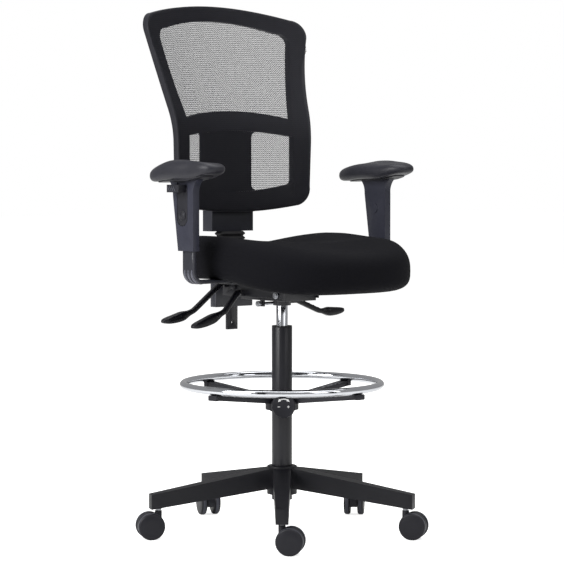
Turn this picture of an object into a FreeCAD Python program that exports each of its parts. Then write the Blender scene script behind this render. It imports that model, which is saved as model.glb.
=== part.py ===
import FreeCAD, Part
import os
import re
import Sketcher

# A drafting chair: five castors, a star base, a gas lift with a sliding foot ring, a seat on a
# tilting plate, a mesh back on a height bar and two arms that go up, down and sideways.
# Millimetres, +Z up.  The origin is the point of the floor under the column.  The sitter faces -Y,
# and the sitter's left hand is on the +X side.

V = FreeCAD.Vector
DOC = FreeCAD.newDocument("DraftingChair")

SIZES = {
    # castors
    "wheel_radius": 32.5,
    "wheel_width": 16,
    "wheel_gap": 19,
    "castor_trail": 20,
    "axle_radius": 4,
    "stem_radius": 5.5,
    "hood_wall": 2.5,
    "hood_gap": 1.5,
    "swivel_gap": 4,
    # star base
    "castor_circle": 315,
    "leg_end": 335,
    "leg_root_width": 44,
    "leg_tip_width": 30,
    "leg_root_height": 50,
    "leg_tip_height": 36,
    "leg_fall": 55,
    "leg_wall": 4,
    "base_hub_radius": 37,
    "base_turn": 13,
    # gas lift
    "tube_radius": 25,
    "tube_wall": 1.8,
    "tube_foot": 32,
    "tube_above_base": 342,
    "bush_length": 75,
    "lift_radius": 14,
    "lift_wall": 2,
    "lift_length": 468,
    "lift_exposed": 53,
    "rod_radius": 5,
    "rod_length": 290,
    "running_gap": 0.06,
    # foot ring
    "ring_radius": 242,
    "ring_tube_radius": 9.5,
    "ring_height": 201,
    "ring_turn": 52.8,
    "spoke_rise": 32,
    "spoke_height": 13,
    "spoke_width": 24,
    "ring_hub_radius": 41,
    "ring_hub_height": 30,
    "knob_radius": 26,
    "knob_depth": 16,
    # seat mechanism
    "socket_length": 13,
    "housing_half_width": 50,
    "housing_front": 70,
    "housing_rear": 98,
    "housing_height": 40,
    "housing_wall": 3,
    "tilt_axis_y": -42,
    "tilt_axis_rise": 15,
    "pivot_radius": 6,
    "plate_gap": 16,
    "plate_thickness": 3,
    "plate_half_width": 85,
    "plate_front": 97,
    "plate_rear": 162,
    "flange_front": 75,
    "plate_screw_x": 70,
    "plate_screw_front": 80,
    "plate_screw_rear": 20,
    "screw_radius": 3,
    "screw_head_radius": 6,
    "lug_thickness": 4,
    "lug_height": 14,
    "bolt_radius": 4,
    "bolt_y": 30,
    "bolt_drop": 9,
    "flange_gap": 2,
    "recline_axis_y": 118,
    "recline_axis_rise": 31,
    # seat
    "board_thickness": 11,
    "board_inset": 35,
    "cushion_half_width": 250,
    "cushion_front": 313,
    "cushion_rear": 157,
    "cushion_height": 103,
    "cushion_drop": 34,
    # back
    "bar_half_width": 17,
    "bar_thickness": 8,
    "bar_y": 194,
    "bar_length": 300,
    "bracket_half_width": 60,
    "bracket_depth": 22,
    "bracket_height": 74,
    "carrier_half_width": 68,
    "carrier_depth": 38,
    "carrier_height": 58,
    "carrier_gap": 106,
    "bellows_half_width": 42,
    "bellows_depth": 34,
    "back_height": 518,
    "back_top_half_width": 257,
    "back_waist_half_width": 217,
    "back_rim": 45,
    "back_frame_thickness": 18,
    "back_hollow_radius": 690,
    "mesh_thickness": 1.5,
    "back_surface_y": 170,
    "back_lean_angle": 23,
    "back_top_angle": 9,
    "lumbar_radius": 187,
    "crest_radius": 1230,
    "lumbar_half_width": 84,
    # arms
    "arm_x": 310,
    "arm_y": -25.5,
    "arm_bar_half_width": 21.5,
    "arm_bar_thickness": 8,
    "arm_bar_height": 190,
    "arm_bend_radius": 30,
    "sleeve_thickness": 20,
    "sleeve_lift": 69,
    "sleeve_height": 168,
    "pad_length": 250,
    "pad_width": 92,
    "pad_height": 40,
    "pad_plate_thickness": 4,
    "guide_length": 95,
    "guide_start": 105,
    "arm_bar_start": 120,
    "notch_pitch": 11,
    "trigger_thickness": 3.2,
    "trigger_radius": 18.5,
    "trigger_pin_radius": 1.4,
    "trigger_tab_length": 44,
    # levers: how far out and down the bend and the tip lie from the pivot
    "lever_thickness": 10,
    "lever_width": 13,
    "paddle_width": 25,
    "lever_pivot_out": 62,
    "recline_lever_y": 147,
    "recline_lever_bend": 101,
    "recline_lever_bend_drop": 64,
    "recline_lever_tip": 198,
    "recline_lever_tip_drop": 85,
    "tilt_lever_y": 81,
    "tilt_lever_bend": 55,
    "tilt_lever_bend_drop": 45,
    "tilt_lever_tip": 158,
    "tilt_lever_tip_drop": 78,
    "gas_lever_y": 50,
    "gas_lever_out": 43,
    "gas_lever_bend": 126,
    "gas_lever_bend_drop": 30,
    "gas_lever_tip": 208,
    "gas_lever_tip_drop": 29,
}

SHEET = DOC.addObject("Spreadsheet::Sheet", "Sizes")
for row, (alias, number) in enumerate(SIZES.items(), start=1):
    SHEET.set(f"A{row}", alias)
    SHEET.set(f"B{row}", str(number))
    SHEET.setAlias(f"B{row}", alias)
DOC.recompute()

# Heights, stacked up from the floor so that what stands on something follows it.
LEG_FLOOR = "(2 * wheel_radius + hood_gap + hood_wall + swivel_gap)"
BASE_TOP = f"({LEG_FLOOR} + leg_tip_height + leg_fall + 2)"
BASE_FLOOR = f"({BASE_TOP} - leg_root_height - 20)"
TUBE_FLOOR = f"({BASE_FLOOR} - 14)"
TUBE_TOP = f"({BASE_TOP} + tube_above_base)"
RING_Z = f"({BASE_TOP} + ring_height)"
SOCKET_FLOOR = f"({TUBE_TOP} + lift_exposed)"
HOUSING_FLOOR = f"({SOCKET_FLOOR} + socket_length)"
HOUSING_TOP = f"({HOUSING_FLOOR} + housing_height)"
PLATE_FLOOR = f"({HOUSING_TOP} + plate_gap)"
BOARD_FLOOR = f"({PLATE_FLOOR} + plate_thickness)"
TILT_Z = f"({HOUSING_FLOOR} + tilt_axis_rise)"
RECLINE_Z = f"({HOUSING_FLOOR} + recline_axis_rise)"
BRACKET_FLOOR = f"({HOUSING_FLOOR} - 25)"
BRACKET_TOP = f"({BRACKET_FLOOR} + bracket_height)"
CARRIER_FLOOR = f"({BOARD_FLOOR} + carrier_gap)"
BACK_FLOOR = f"({CARRIER_FLOOR} + carrier_height - 10)"
BACK_TOP = f"({BACK_FLOOR} + back_height)"
SLEEVE_FLOOR = f"({BOARD_FLOOR} + sleeve_lift)"
PAD_FLOOR = f"({SLEEVE_FLOOR} + sleeve_height)"
FLANGE_INSIDE = "(housing_half_width + flange_gap)"
FLANGE_OUTSIDE = f"({FLANGE_INSIDE} + plate_thickness)"


def expression(text):
    """Point every size's name in the text at its cell."""
    return re.sub(r"[a-z_]+", lambda word: "Sizes." + word[0] if word[0] in SIZES else word[0], text)


def value(text):
    """What the text comes to now."""
    return float(SHEET.evalExpression(expression(text)))


def bind(item, sizes):
    """Tie properties of an object to the sheet."""
    for name, text in sizes.items():
        item.setExpression(name, expression(text))
    return item


def place(item, at=("0", "0", "0"), axis=None, turn="0"):
    """Put an object at a point, turned about an axis; both follow the sheet."""
    if axis:
        item.Placement = FreeCAD.Placement(V(), FreeCAD.Rotation(V(*axis), value(turn)))
        bind(item, {"Placement.Rotation.Angle": turn})
    return bind(item, {f"Placement.Base.{letter}": text for letter, text in zip("xyz", at)})


X_WAY, Y_WAY = ((0, 1, 0), "90"), ((1, 0, 0), "-90")


def named(item, label):
    item.Label = label
    return item


def box(label, size, at):
    """A box, from its lowest corner."""
    item = bind(DOC.addObject("Part::Box", label), dict(zip(("Length", "Width", "Height"), size)))
    return named(place(item, at), label)


def rod(label, radius, length, at, way=(None, "0")):
    """A cylinder from a point, along +Z or, with X_WAY or Y_WAY, along +X or +Y."""
    item = bind(DOC.addObject("Part::Cylinder", label), {"Radius": radius, "Height": length})
    return named(place(item, at, *way), label)


def fuse(label, items):
    item = DOC.addObject("Part::MultiFuse", label)
    item.Shapes = items
    item.Refine = True
    return named(item, label)


def cut(label, base, tools):
    """The base less its tools."""
    item = DOC.addObject("Part::Cut", label)
    item.Base = base
    item.Tool = tools[0] if len(tools) == 1 else fuse(label + "_tools", tools)
    return named(item, label)


def common(label, one, other):
    item = DOC.addObject("Part::Common", label)
    item.Base, item.Tool = one, other
    return named(item, label)


def group(label, items):
    """Like pieces that stay apart, in one node."""
    item = DOC.addObject("Part::Compound", label)
    item.Links = items
    return named(item, label)


def turned(label, items, turn):
    """A group, turned about the column."""
    return place(group(label, items), (), (0, 0, 1), turn)


def new_body(label):
    return named(DOC.addObject("PartDesign::Body", label), label)


def new_sketch(body, name, role, offset="0"):
    """A sketch on one of the body's own planes, moved along the plane's normal."""
    plane = next(item for item in body.Origin.OriginFeatures if item.Role == role)
    sketch = body.newObject("Sketcher::SketchObject", name)
    sketch.AttachmentSupport = [(plane, "")]
    sketch.MapMode = "FlatFace"
    return bind(sketch, {"AttachmentOffset.Base.z": offset})


def pin(sketch, geometry, position, point, name):
    """Hold a sketch point at two lengths from the sketch's origin."""
    for way, text in zip("XY", point):
        index = sketch.addConstraint(
            Sketcher.Constraint(f"Distance{way}", -1, 1, geometry, position, value(text)))
        sketch.renameConstraint(index, f"{name}_{way}")
        sketch.setExpression(f"Constraints.{name}_{way}", expression(text))


def outline(sketch, start, steps):
    """A closed outline: each step ends at a point, and one with two points is an arc through
    the first of them."""
    here = start
    corner = [V(value(start[0]), value(start[1]), 0)]
    for number, step in enumerate(steps):
        end = step[-1]
        corner.append(V(value(end[0]), value(end[1]), 0))
        if len(step) == 2:
            through = V(value(step[0][0]), value(step[0][1]), 0)
            edge = sketch.addGeometry(Part.Arc(corner[-2], through, corner[-1]), False)
            mark = sketch.addGeometry(Part.Point(through), True)
            pin(sketch, mark, 1, step[0], f"through_{number}")
            sketch.addConstraint(Sketcher.Constraint("PointOnObject", mark, 1, edge))
        else:
            edge = sketch.addGeometry(Part.LineSegment(corner[-2], corner[-1]), False)
        first = 1 if (sketch.getPoint(edge, 1) - corner[-2]).Length < 1e-6 else 2
        pin(sketch, edge, first, here, f"from_{number}")
        pin(sketch, edge, 3 - first, end, f"to_{number}")
        here = end
    return sketch


def rectangle(sketch, low, high):
    """A rectangle between two corners."""
    (left, bottom), (right, top) = low, high
    return outline(sketch, (left, bottom), [[(right, bottom)], [(right, top)], [(left, top)],
                                            [(left, bottom)]])


def circle(sketch, centre, radius):
    edge = sketch.addGeometry(Part.Circle(V(value(centre[0]), value(centre[1]), 0), V(0, 0, 1),
                                          value(radius)), False)
    pin(sketch, edge, 3, centre, "centre")
    index = sketch.addConstraint(Sketcher.Constraint("Radius", edge, value(radius)))
    sketch.renameConstraint(index, "radius")
    sketch.setExpression("Constraints.radius", expression(radius))
    return sketch


def pad(body, sketch, length):
    item = body.newObject("PartDesign::Pad", sketch.Name + "_pad")
    item.Profile = sketch
    bind(item, {"Length": length})
    DOC.recompute()
    return item


def hollow(body, sketch, length, turned=False):
    """A pocket; it has to take something away."""
    before = body.Shape.Volume
    item = body.newObject("PartDesign::Pocket", sketch.Name + "_pocket")
    item.Profile = sketch
    item.Reversed = turned
    bind(item, {"Length": length})
    DOC.recompute()
    if item.Shape.Volume > before - 1:
        raise RuntimeError(f"{sketch.Name} takes nothing away")
    return item


def loft(body, name, kind, first, last):
    item = body.newObject(f"PartDesign::{kind}Loft", name)
    item.Profile = first
    item.Sections = [last]
    item.Ruled = True
    DOC.recompute()
    return item


def around(body, name, features, count):
    """The features again, evenly about the body's Z axis."""
    item = body.newObject("PartDesign::PolarPattern", name)
    item.Originals = features
    axis = next(part for part in body.Origin.OriginFeatures if part.Role == "Z_Axis")
    item.Axis = (axis, [""])
    item.Angle = 360
    item.Occurrences = count
    body.Tip = item
    DOC.recompute()
    return item


def rounded(body, name, base, picked, radius):
    """Fillet the base's edges that the test picks."""
    DOC.recompute()
    edges = [f"Edge{number}" for number, edge in enumerate(base.Shape.Edges, start=1) if picked(edge)]
    item = body.newObject("PartDesign::Fillet", name)
    item.Base = (base, edges)
    bind(item, {"Radius": radius})
    DOC.recompute()
    return item


def runs_along(way):
    """A test for straight edges that run along X, Y or Z."""
    def test(edge):
        if len(edge.Vertexes) != 2 or edge.Curve.TypeId != "Part::GeomLine":
            return False
        run = edge.Vertexes[1].Point - edge.Vertexes[0].Point
        return abs(abs(run[way]) - run.Length) < 1e-6
    return test


def all_edges_near(way, level):
    """A test for the edges that lie wholly at one coordinate."""
    def test(edge):
        low, high = edge.BoundBox.getPoint(0)[way], edge.BoundBox.getPoint(6)[way]
        return abs(low - level) < 0.01 and abs(high - level) < 0.01
    return test


def polar(radius, angle):
    """The two coordinates of a point at a radius and an angle in degrees."""
    return f"({radius}) * cos({angle})", f"({radius}) * sin({angle})"


# ---------------------------------------------------------------- star base and castors

LEGS = 5
# How each castor happens to stand, in degrees from +X.
CASTOR_TURNS = (42, 67, 154, 309, 303)


def leg_angle(index):
    return f"(base_turn + {72 * index})"


def star_base():
    """Five hollow legs that fall outwards from a hub, each with a boss for a castor stem."""
    body = new_body("star_base")
    hub = pad(body, circle(new_sketch(body, "base_hub", "XY_Plane", BASE_FLOOR), ("0", "0"),
                           "base_hub_radius"), f"{BASE_TOP} - {BASE_FLOOR}")
    rounded(body, "base_hub_edge", hub,
            all_edges_near(2, value(BASE_TOP)), "3")
    root_top = f"({BASE_TOP} - 2)"
    tip_top = f"({LEG_FLOOR} + leg_tip_height)"
    root = rectangle(new_sketch(body, "leg_root", "YZ_Plane", "base_hub_radius * 0.4"),
                     ("-leg_root_width / 2", f"{root_top} - leg_root_height"),
                     ("leg_root_width / 2", root_top))
    tip = rectangle(new_sketch(body, "leg_tip", "YZ_Plane", "leg_end"),
                    ("-leg_tip_width / 2", LEG_FLOOR), ("leg_tip_width / 2", tip_top))
    leg = loft(body, "leg", "Additive", root, tip)
    inner_root = rectangle(
        new_sketch(body, "channel_root", "YZ_Plane", "base_hub_radius + 4"),
        ("-leg_root_width / 2 + leg_wall", f"{root_top} - leg_root_height - 10"),
        ("leg_root_width / 2 - leg_wall", f"{root_top} - leg_wall - 8"))
    inner_tip = rectangle(
        new_sketch(body, "channel_tip", "YZ_Plane", "castor_circle - stem_radius - 6"),
        ("-leg_tip_width / 2 + leg_wall", f"{LEG_FLOOR} - 10"),
        ("leg_tip_width / 2 - leg_wall", f"{tip_top} - leg_wall"))
    channel = loft(body, "channel", "Subtractive", inner_root, inner_tip)
    bore_sketch = circle(new_sketch(body, "stem_bore", "XY_Plane", LEG_FLOOR),
                         ("castor_circle", "0"), "stem_radius")
    bore = hollow(body, bore_sketch, "leg_tip_height - leg_wall", turned=True)
    around(body, "legs", [leg, channel, bore], LEGS)
    column = circle(new_sketch(body, "column_bore", "XY_Plane", BASE_FLOOR), ("0", "0"),
                    "tube_radius")
    hollow(body, column, f"{BASE_TOP} - {BASE_FLOOR} + 1", turned=True)
    place(body, axis=(0, 0, 1), turn="base_turn")


def castor_stems():
    """Five steel pins, pressed into the legs; the hoods turn on them."""
    pins = []
    for index in range(LEGS):
        x, y = polar("castor_circle", leg_angle(index))
        low = "(wheel_radius + 6)"
        pin_length = f"{LEG_FLOOR} + leg_tip_height - leg_wall - 1 - {low}"
        stem = rod(f"stem_{index}", "stem_radius", pin_length, (x, y, low))
        collar = rod(f"stem_collar_{index}", "stem_radius + 2.5", "1.5",
                     (x, y, f"{LEG_FLOOR} - 1.5"))
        pins.append(fuse(f"collared_stem_{index}", [stem, collar]))
    group("castor_stems", pins)


def castor(index):
    """A hood between the wheels, with its boss on the stem, and two wheels on one axle that
    turns in the hood."""
    x, y = polar("castor_circle", leg_angle(index))
    turn = ((0, 0, 1), str(CASTOR_TURNS[index]))
    half = "(wheel_gap / 2 + wheel_width)"
    name = f"castor_{index + 1}"
    shell = rod(name + "_shell", "wheel_radius - 1.5", "wheel_gap - 1",
                ("castor_trail", "-(wheel_gap - 1) / 2", "wheel_radius"), Y_WAY)
    lower = box(name + "_lower", ("200", "200", "wheel_radius"), ("-100", "-100", "-10"))
    arch = cut(name + "_arch", shell, [lower])
    web = box(name + "_web", ("wheel_radius + stem_radius + castor_trail * 0.4",
                              "wheel_gap - 7", "wheel_radius + hood_gap - 8"),
              ("-stem_radius - 3", "-(wheel_gap - 7) / 2", "wheel_radius - 8"))
    boss = rod(name + "_boss", "stem_radius + 3", "wheel_radius + hood_gap + hood_wall - 2",
               ("0", "0", "wheel_radius + 2"))
    axle_boss = rod(name + "_axle_boss", "axle_radius + 4", "wheel_gap - 1",
                    ("castor_trail", "-(wheel_gap - 1) / 2", "wheel_radius"), Y_WAY)
    stem_hole = rod(name + "_stem_hole", "stem_radius + running_gap", "100",
                    ("0", "0", "wheel_radius + 5"))
    axle_hole = rod(name + "_axle_hole", "axle_radius + running_gap", "100",
                    ("castor_trail", "-50", "wheel_radius"), Y_WAY)
    solid = fuse(name + "_solid", [arch, web, boss, axle_boss])
    place(cut(name + "_hood", solid, [stem_hole, axle_hole]), (x, y, "0"), *turn)

    axle = rod(name + "_axle", "axle_radius", f"2 * {half} - 6",
               ("castor_trail", f"-{half} + 3", "wheel_radius"), Y_WAY)
    wheels = [rod(f"{name}_{side}_disc", "wheel_radius", "wheel_width",
                  ("castor_trail", low, "wheel_radius"), Y_WAY)
              for side, low in (("near", f"-{half}"), ("far", "wheel_gap / 2"))]
    place(fuse(name + "_wheels", [axle] + wheels), (x, y, "0"), *turn)


# ---------------------------------------------------------------- gas lift

def column():
    """The outer tube with its guide bush, and the bearing that carries the piston rod."""
    outer = rod("tube_outside", "tube_radius", f"{TUBE_TOP} - {TUBE_FLOOR}", ("0", "0", TUBE_FLOOR))
    inner = rod("tube_inside", "tube_radius - tube_wall", f"{TUBE_TOP}",
                ("0", "0", f"{TUBE_FLOOR} + 4"))
    hole = rod("tube_hole", "rod_radius + running_gap", "20", ("0", "0", f"{TUBE_FLOOR} - 10"))
    cut("column_outer_tube", outer, [inner, hole])

    sleeve = rod("bush_sleeve", "tube_radius - tube_wall", "bush_length",
                 ("0", "0", f"{TUBE_TOP} - bush_length"))
    rim = rod("bush_rim", "tube_radius", "3", ("0", "0", TUBE_TOP))
    bore = rod("bush_bore", "lift_radius + running_gap", "bush_length + 10",
               ("0", "0", f"{TUBE_TOP} - bush_length - 2"))
    cut("column_guide_bush", fuse("bush_solid", [sleeve, rim]), [bore])

    bearing = rod("bearing_ring", "rod_radius + 11", "8", ("0", "0", f"{TUBE_FLOOR} + 4"))
    bearing_hole = rod("bearing_hole", "rod_radius + running_gap", "20",
                       ("0", "0", TUBE_FLOOR))
    cut("column_thrust_bearing", bearing, [bearing_hole])


LIFT_TOP = f"({HOUSING_FLOOR} + 26)"
LIFT_FLOOR = f"({LIFT_TOP} - lift_length)"


def gas_spring():
    """The rod stands on the bearing and turns there; the pressure tube slides on the rod."""
    shank = rod("rod_shank", "rod_radius", "rod_length + 24", ("0", "0", f"{TUBE_FLOOR} - 6"))
    collar = rod("rod_collar", "rod_radius + 3", "4", ("0", "0", f"{TUBE_FLOOR} + 12"))
    head = rod("rod_head", "lift_radius - lift_wall - 0.3", "10",
               ("0", "0", f"{TUBE_FLOOR} - 6 + rod_length + 24"))
    fuse("piston_rod", [shank, collar, head])

    clip = rod("clip_disc", "rod_radius + 5", "2", ("0", "0", f"{TUBE_FLOOR} - 3"))
    clip_hole = rod("clip_hole", "rod_radius", "10", ("0", "0", f"{TUBE_FLOOR} - 8"))
    cut("rod_retaining_clip", clip, [clip_hole])

    outside = rod("lift_outside", "lift_radius", "lift_length", ("0", "0", LIFT_FLOOR))
    inside = rod("lift_inside", "lift_radius - lift_wall", "lift_length - 30",
                 ("0", "0", f"{LIFT_FLOOR} + 10"))
    throat = rod("lift_throat", "rod_radius + running_gap", "40", ("0", "0", f"{LIFT_FLOOR} - 10"))
    valve_hole = rod("valve_hole", "3 + running_gap", "40", ("0", "0", f"{LIFT_TOP} - 25"))
    cut("pressure_tube", outside, [inside, throat, valve_hole])
    rod("gas_valve_pin", "3", "24", ("0", "0", f"{LIFT_TOP} - 18"))


# ---------------------------------------------------------------- foot ring

SPOKES = 4
SPOKE_END_Z = f"({RING_Z} - ring_tube_radius - spoke_height / 2)"
RING_HUB_MIDDLE = f"({SPOKE_END_Z} - spoke_rise)"
RING_HUB_FLOOR = f"({RING_HUB_MIDDLE} - ring_hub_height / 2)"
SPOKE_ROOT_FLOOR = f"({RING_HUB_MIDDLE} + 1.5)"
RING_BUSH_RADIUS = "(tube_radius + 4)"
KNOB_TURN = "(ring_turn + 180)"


def foot_ring():
    """A steel ring on four rising spokes; a split bush lets it slide and turn on the column."""
    outer = rod("ring_bush_outside", RING_BUSH_RADIUS, "ring_hub_height + 8",
                ("0", "0", f"{RING_HUB_FLOOR} - 4"))
    bore = rod("ring_bush_bore", "tube_radius + running_gap", "ring_hub_height + 20",
               ("0", "0", f"{RING_HUB_FLOOR} - 10"))
    slit = box("ring_bush_slit", ("40", "3", "ring_hub_height + 20"),
               ("-40", "-1.5", f"{RING_HUB_FLOOR} - 10"))
    turned("ring_split_bush", [cut("ring_bush_ring", outer, [bore, slit])], KNOB_TURN)

    body = new_body("spider_blank")
    hub = pad(body, circle(new_sketch(body, "ring_hub", "XY_Plane", RING_HUB_FLOOR), ("0", "0"),
                           "ring_hub_radius"), "ring_hub_height")
    rounded(body, "ring_hub_edges", hub, lambda edge: edge.Curve.TypeId == "Part::GeomCircle", "2")
    low = rectangle(new_sketch(body, "spoke_root", "YZ_Plane", "ring_hub_radius - 8"),
                    ("-spoke_width / 2", f"{SPOKE_ROOT_FLOOR}"),
                    ("spoke_width / 2", f"{SPOKE_ROOT_FLOOR} + spoke_height"))
    high = rectangle(new_sketch(body, "spoke_end", "YZ_Plane", "ring_radius - 4"),
                     ("-spoke_width / 2", f"{SPOKE_END_Z} - spoke_height / 2"),
                     ("spoke_width / 2", f"{SPOKE_END_Z} + spoke_height / 2"))
    spoke = loft(body, "spoke", "Additive", low, high)
    around(body, "spokes", [spoke], SPOKES)
    place(body, (), (0, 0, 1), "45")
    bore = rod("ring_hub_bore", f"{RING_BUSH_RADIUS} + running_gap", "ring_hub_height + 20",
               ("0", "0", f"{RING_HUB_FLOOR} - 10"))
    screw_way = rod("ring_screw_way", "5 + running_gap", "ring_hub_radius + 10",
                    ("0", "0", RING_HUB_MIDDLE), X_WAY)
    turned("ring_spider", [cut("spider_drilled", body, [bore, screw_way])], KNOB_TURN)

    ring = bind(DOC.addObject("Part::Torus", "foot_ring"),
                {"Radius1": "ring_radius", "Radius2": "ring_tube_radius"})
    named(place(ring, ("0", "0", RING_Z)), "foot_ring")

    caps = []
    for index in range(SPOKES):
        block = box(f"cap_block_{index}", ("14", "spoke_width + 4", "spoke_height"),
                    ("ring_radius - 4", "-spoke_width / 2 - 2",
                     f"{SPOKE_END_Z} - spoke_height / 2"))
        caps.append(turned(f"cap_{index}", [block], f"(ring_turn + {45 + 90 * index})"))
    group("spoke_end_caps", caps)


def ring_clamp():
    """The knob and the screw it turns, which pinch the bush."""
    grip = rod("knob_grip", "knob_radius", "knob_depth",
               ("ring_hub_radius + 8", "0", RING_HUB_MIDDLE), X_WAY)
    neck = rod("knob_neck", "10", "7.5", ("ring_hub_radius + 1", "0", RING_HUB_MIDDLE), X_WAY)
    bore = rod("knob_bore", "5", "14", ("ring_hub_radius - 2", "0", RING_HUB_MIDDLE), X_WAY)
    turned("ring_clamp_knob", [cut("knob_drilled", fuse("knob_solid", [grip, neck]), [bore])],
           KNOB_TURN)
    start = f"({RING_BUSH_RADIUS} + 0.4)"
    screw = rod("knob_screw", "5", f"ring_hub_radius + 11.5 - {start}",
                (start, "0", RING_HUB_MIDDLE), X_WAY)
    turned("ring_clamp_screw", [screw], KNOB_TURN)


# ---------------------------------------------------------------- seat mechanism

def mechanism_housing():
    """An open steel box round the top of the lift, with the socket that the lift stands in."""
    long = "(housing_front + housing_rear)"
    outside = box("housing_outside", ("2 * housing_half_width", long, "housing_height"),
                  ("-housing_half_width", "-housing_front", HOUSING_FLOOR))
    room = box("housing_room", ("2 * housing_half_width - 2 * housing_wall",
                                f"{long} - 2 * housing_wall", "housing_height"),
               ("-housing_half_width + housing_wall", "-housing_front + housing_wall",
                f"{HOUSING_FLOOR} + housing_wall"))
    shell = cut("housing_shell", outside, [room])
    socket = rod("socket", "lift_radius + 8", f"{LIFT_TOP} - {SOCKET_FLOOR}",
                 ("0", "0", SOCKET_FLOOR))
    lug_y = ("gas_lever_y - 5 - lug_thickness", "gas_lever_y + 5")
    lugs = [box(f"gas_lug_{index}", ("lug_height", "lug_thickness", "13"),
                ("gas_lever_out - lug_height / 2", y, f"{HOUSING_FLOOR} - 13"))
            for index, y in enumerate(lug_y)]
    gas_pin = rod("gas_lever_pin", "3", "16", ("gas_lever_out", "gas_lever_y - 8",
                                               f"{HOUSING_FLOOR} - 7"), Y_WAY)
    bolt_z = f"({HOUSING_FLOOR} - bolt_drop)"
    bolt_lugs = [box(f"bolt_lug_{index}", ("5", "14", "bolt_drop + 7"),
                     (x, "bolt_y - 7", f"{bolt_z} - 7"))
                 for index, x in enumerate(("-40", "15"))]
    boss_starts = ("-housing_half_width", "housing_half_width - housing_wall - 4")
    bosses = [rod(f"tilt_boss_{index}", "pivot_radius + 5", "housing_wall + 4",
                  (x, "tilt_axis_y", TILT_Z), X_WAY)
              for index, x in enumerate(boss_starts)]
    solid = fuse("housing_solid", [shell, socket] + lugs + [gas_pin] + bolt_lugs + bosses)
    bore = rod("socket_bore", "lift_radius", "100", ("0", "0", f"{SOCKET_FLOOR} - 20"))
    tilt_hole = rod("housing_tilt_hole", "pivot_radius + running_gap", "200",
                    ("-100", "tilt_axis_y", TILT_Z), X_WAY)
    bolt_hole = rod("housing_bolt_hole", "bolt_radius", "100", ("-60", "bolt_y", bolt_z), X_WAY)
    cut("mechanism_housing", solid, [bore, tilt_hole, bolt_hole])

    shank = rod("bolt_shank", "bolt_radius", "74", ("-48", "bolt_y", bolt_z), X_WAY)
    head = rod("bolt_head", "bolt_radius + 3", "6", ("-54", "bolt_y", bolt_z), X_WAY)
    fuse("tension_bolt", [shank, head])


def lever_mount(name, y, z, side):
    """Two lugs on the flange's outside with the pin that a lever turns on."""
    at = (lambda x, length: x) if side > 0 else (lambda x, length: f"-({x}) - ({length})")
    long = f"(lever_pivot_out + 6 - {FLANGE_OUTSIDE})"
    pieces = [box(f"{name}_lug_{index}", (long, "lug_thickness", "lug_height"),
                  (at(FLANGE_OUTSIDE, long), low, f"{z} - lug_height / 2"))
              for index, low in enumerate((f"{y} - 5 - lug_thickness", f"{y} + 5"))]
    centre = "lever_pivot_out" if side > 0 else "-lever_pivot_out"
    pieces.append(rod(f"{name}_pin", "3", "16", (centre, f"{y} - 8", z), Y_WAY))
    return pieces


LEVER_HEIGHTS = {"recline": f"({HOUSING_FLOOR} + 35)", "tilt": f"({HOUSING_FLOOR} + 16)",
                 "gas": f"({HOUSING_FLOOR} - 7)"}


PLATE_SCREWS = [(x, y) for x in ("-plate_screw_x", "plate_screw_x")
                for y in ("-plate_screw_front", "plate_screw_rear")]


def seat_plate():
    """A steel channel over the housing that tilts on the front axle and holds the rear one."""
    plate = box("plate_top",
                ("2 * plate_half_width", "plate_front + plate_rear", "plate_thickness"),
                ("-plate_half_width", "-plate_front", PLATE_FLOOR))
    flange_floor = f"({HOUSING_FLOOR} + 6)"
    flanges = [box(f"flange_{index}",
                   ("plate_thickness", "flange_front + plate_rear", f"{PLATE_FLOOR} - {flange_floor}"),
                   (x, "-flange_front", flange_floor))
               for index, x in enumerate((f"-{FLANGE_OUTSIDE}", FLANGE_INSIDE))]
    mounts = (lever_mount("recline", "recline_lever_y", LEVER_HEIGHTS["recline"], -1)
              + lever_mount("tilt", "tilt_lever_y", LEVER_HEIGHTS["tilt"], -1))
    holes = [rod("plate_tilt_hole", "pivot_radius", "200", ("-100", "tilt_axis_y", TILT_Z), X_WAY),
             rod("plate_recline_hole", "pivot_radius", "200",
                 ("-100", "recline_axis_y", RECLINE_Z), X_WAY)]
    screws = []
    for index, (x, y) in enumerate(PLATE_SCREWS):
        holes.append(rod(f"plate_screw_hole_{index}", "screw_radius + 0.2", "20",
                         (x, y, f"{PLATE_FLOOR} - 5")))
        shank = rod(f"seat_screw_shank_{index}", "screw_radius", "plate_thickness + 8",
                    (x, y, PLATE_FLOOR))
        head = rod(f"seat_screw_head_{index}", "screw_head_radius", "3",
                   (x, y, f"{PLATE_FLOOR} - 3"))
        screws.append(fuse(f"seat_screw_{index}", [shank, head]))
    cut("seat_plate", fuse("plate_solid", [plate] + flanges + mounts), holes)
    group("seat_screws", screws)
    for name, y, z in (("tilt", "tilt_axis_y", TILT_Z), ("recline", "recline_axis_y", RECLINE_Z)):
        half = f"({FLANGE_OUTSIDE} + 5)"
        shaft = rod(f"{name}_shaft", "pivot_radius", f"2 * {half}", (f"-{half}", y, z), X_WAY)
        ends = [rod(f"{name}_end_{index}", "pivot_radius + 3", "3", (x, y, z), X_WAY)
                for index, x in enumerate((f"-{FLANGE_OUTSIDE} - 3.2", f"{FLANGE_OUTSIDE} + 0.2"))]
        fuse(f"{name}_axle", [shaft] + ends)


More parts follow.
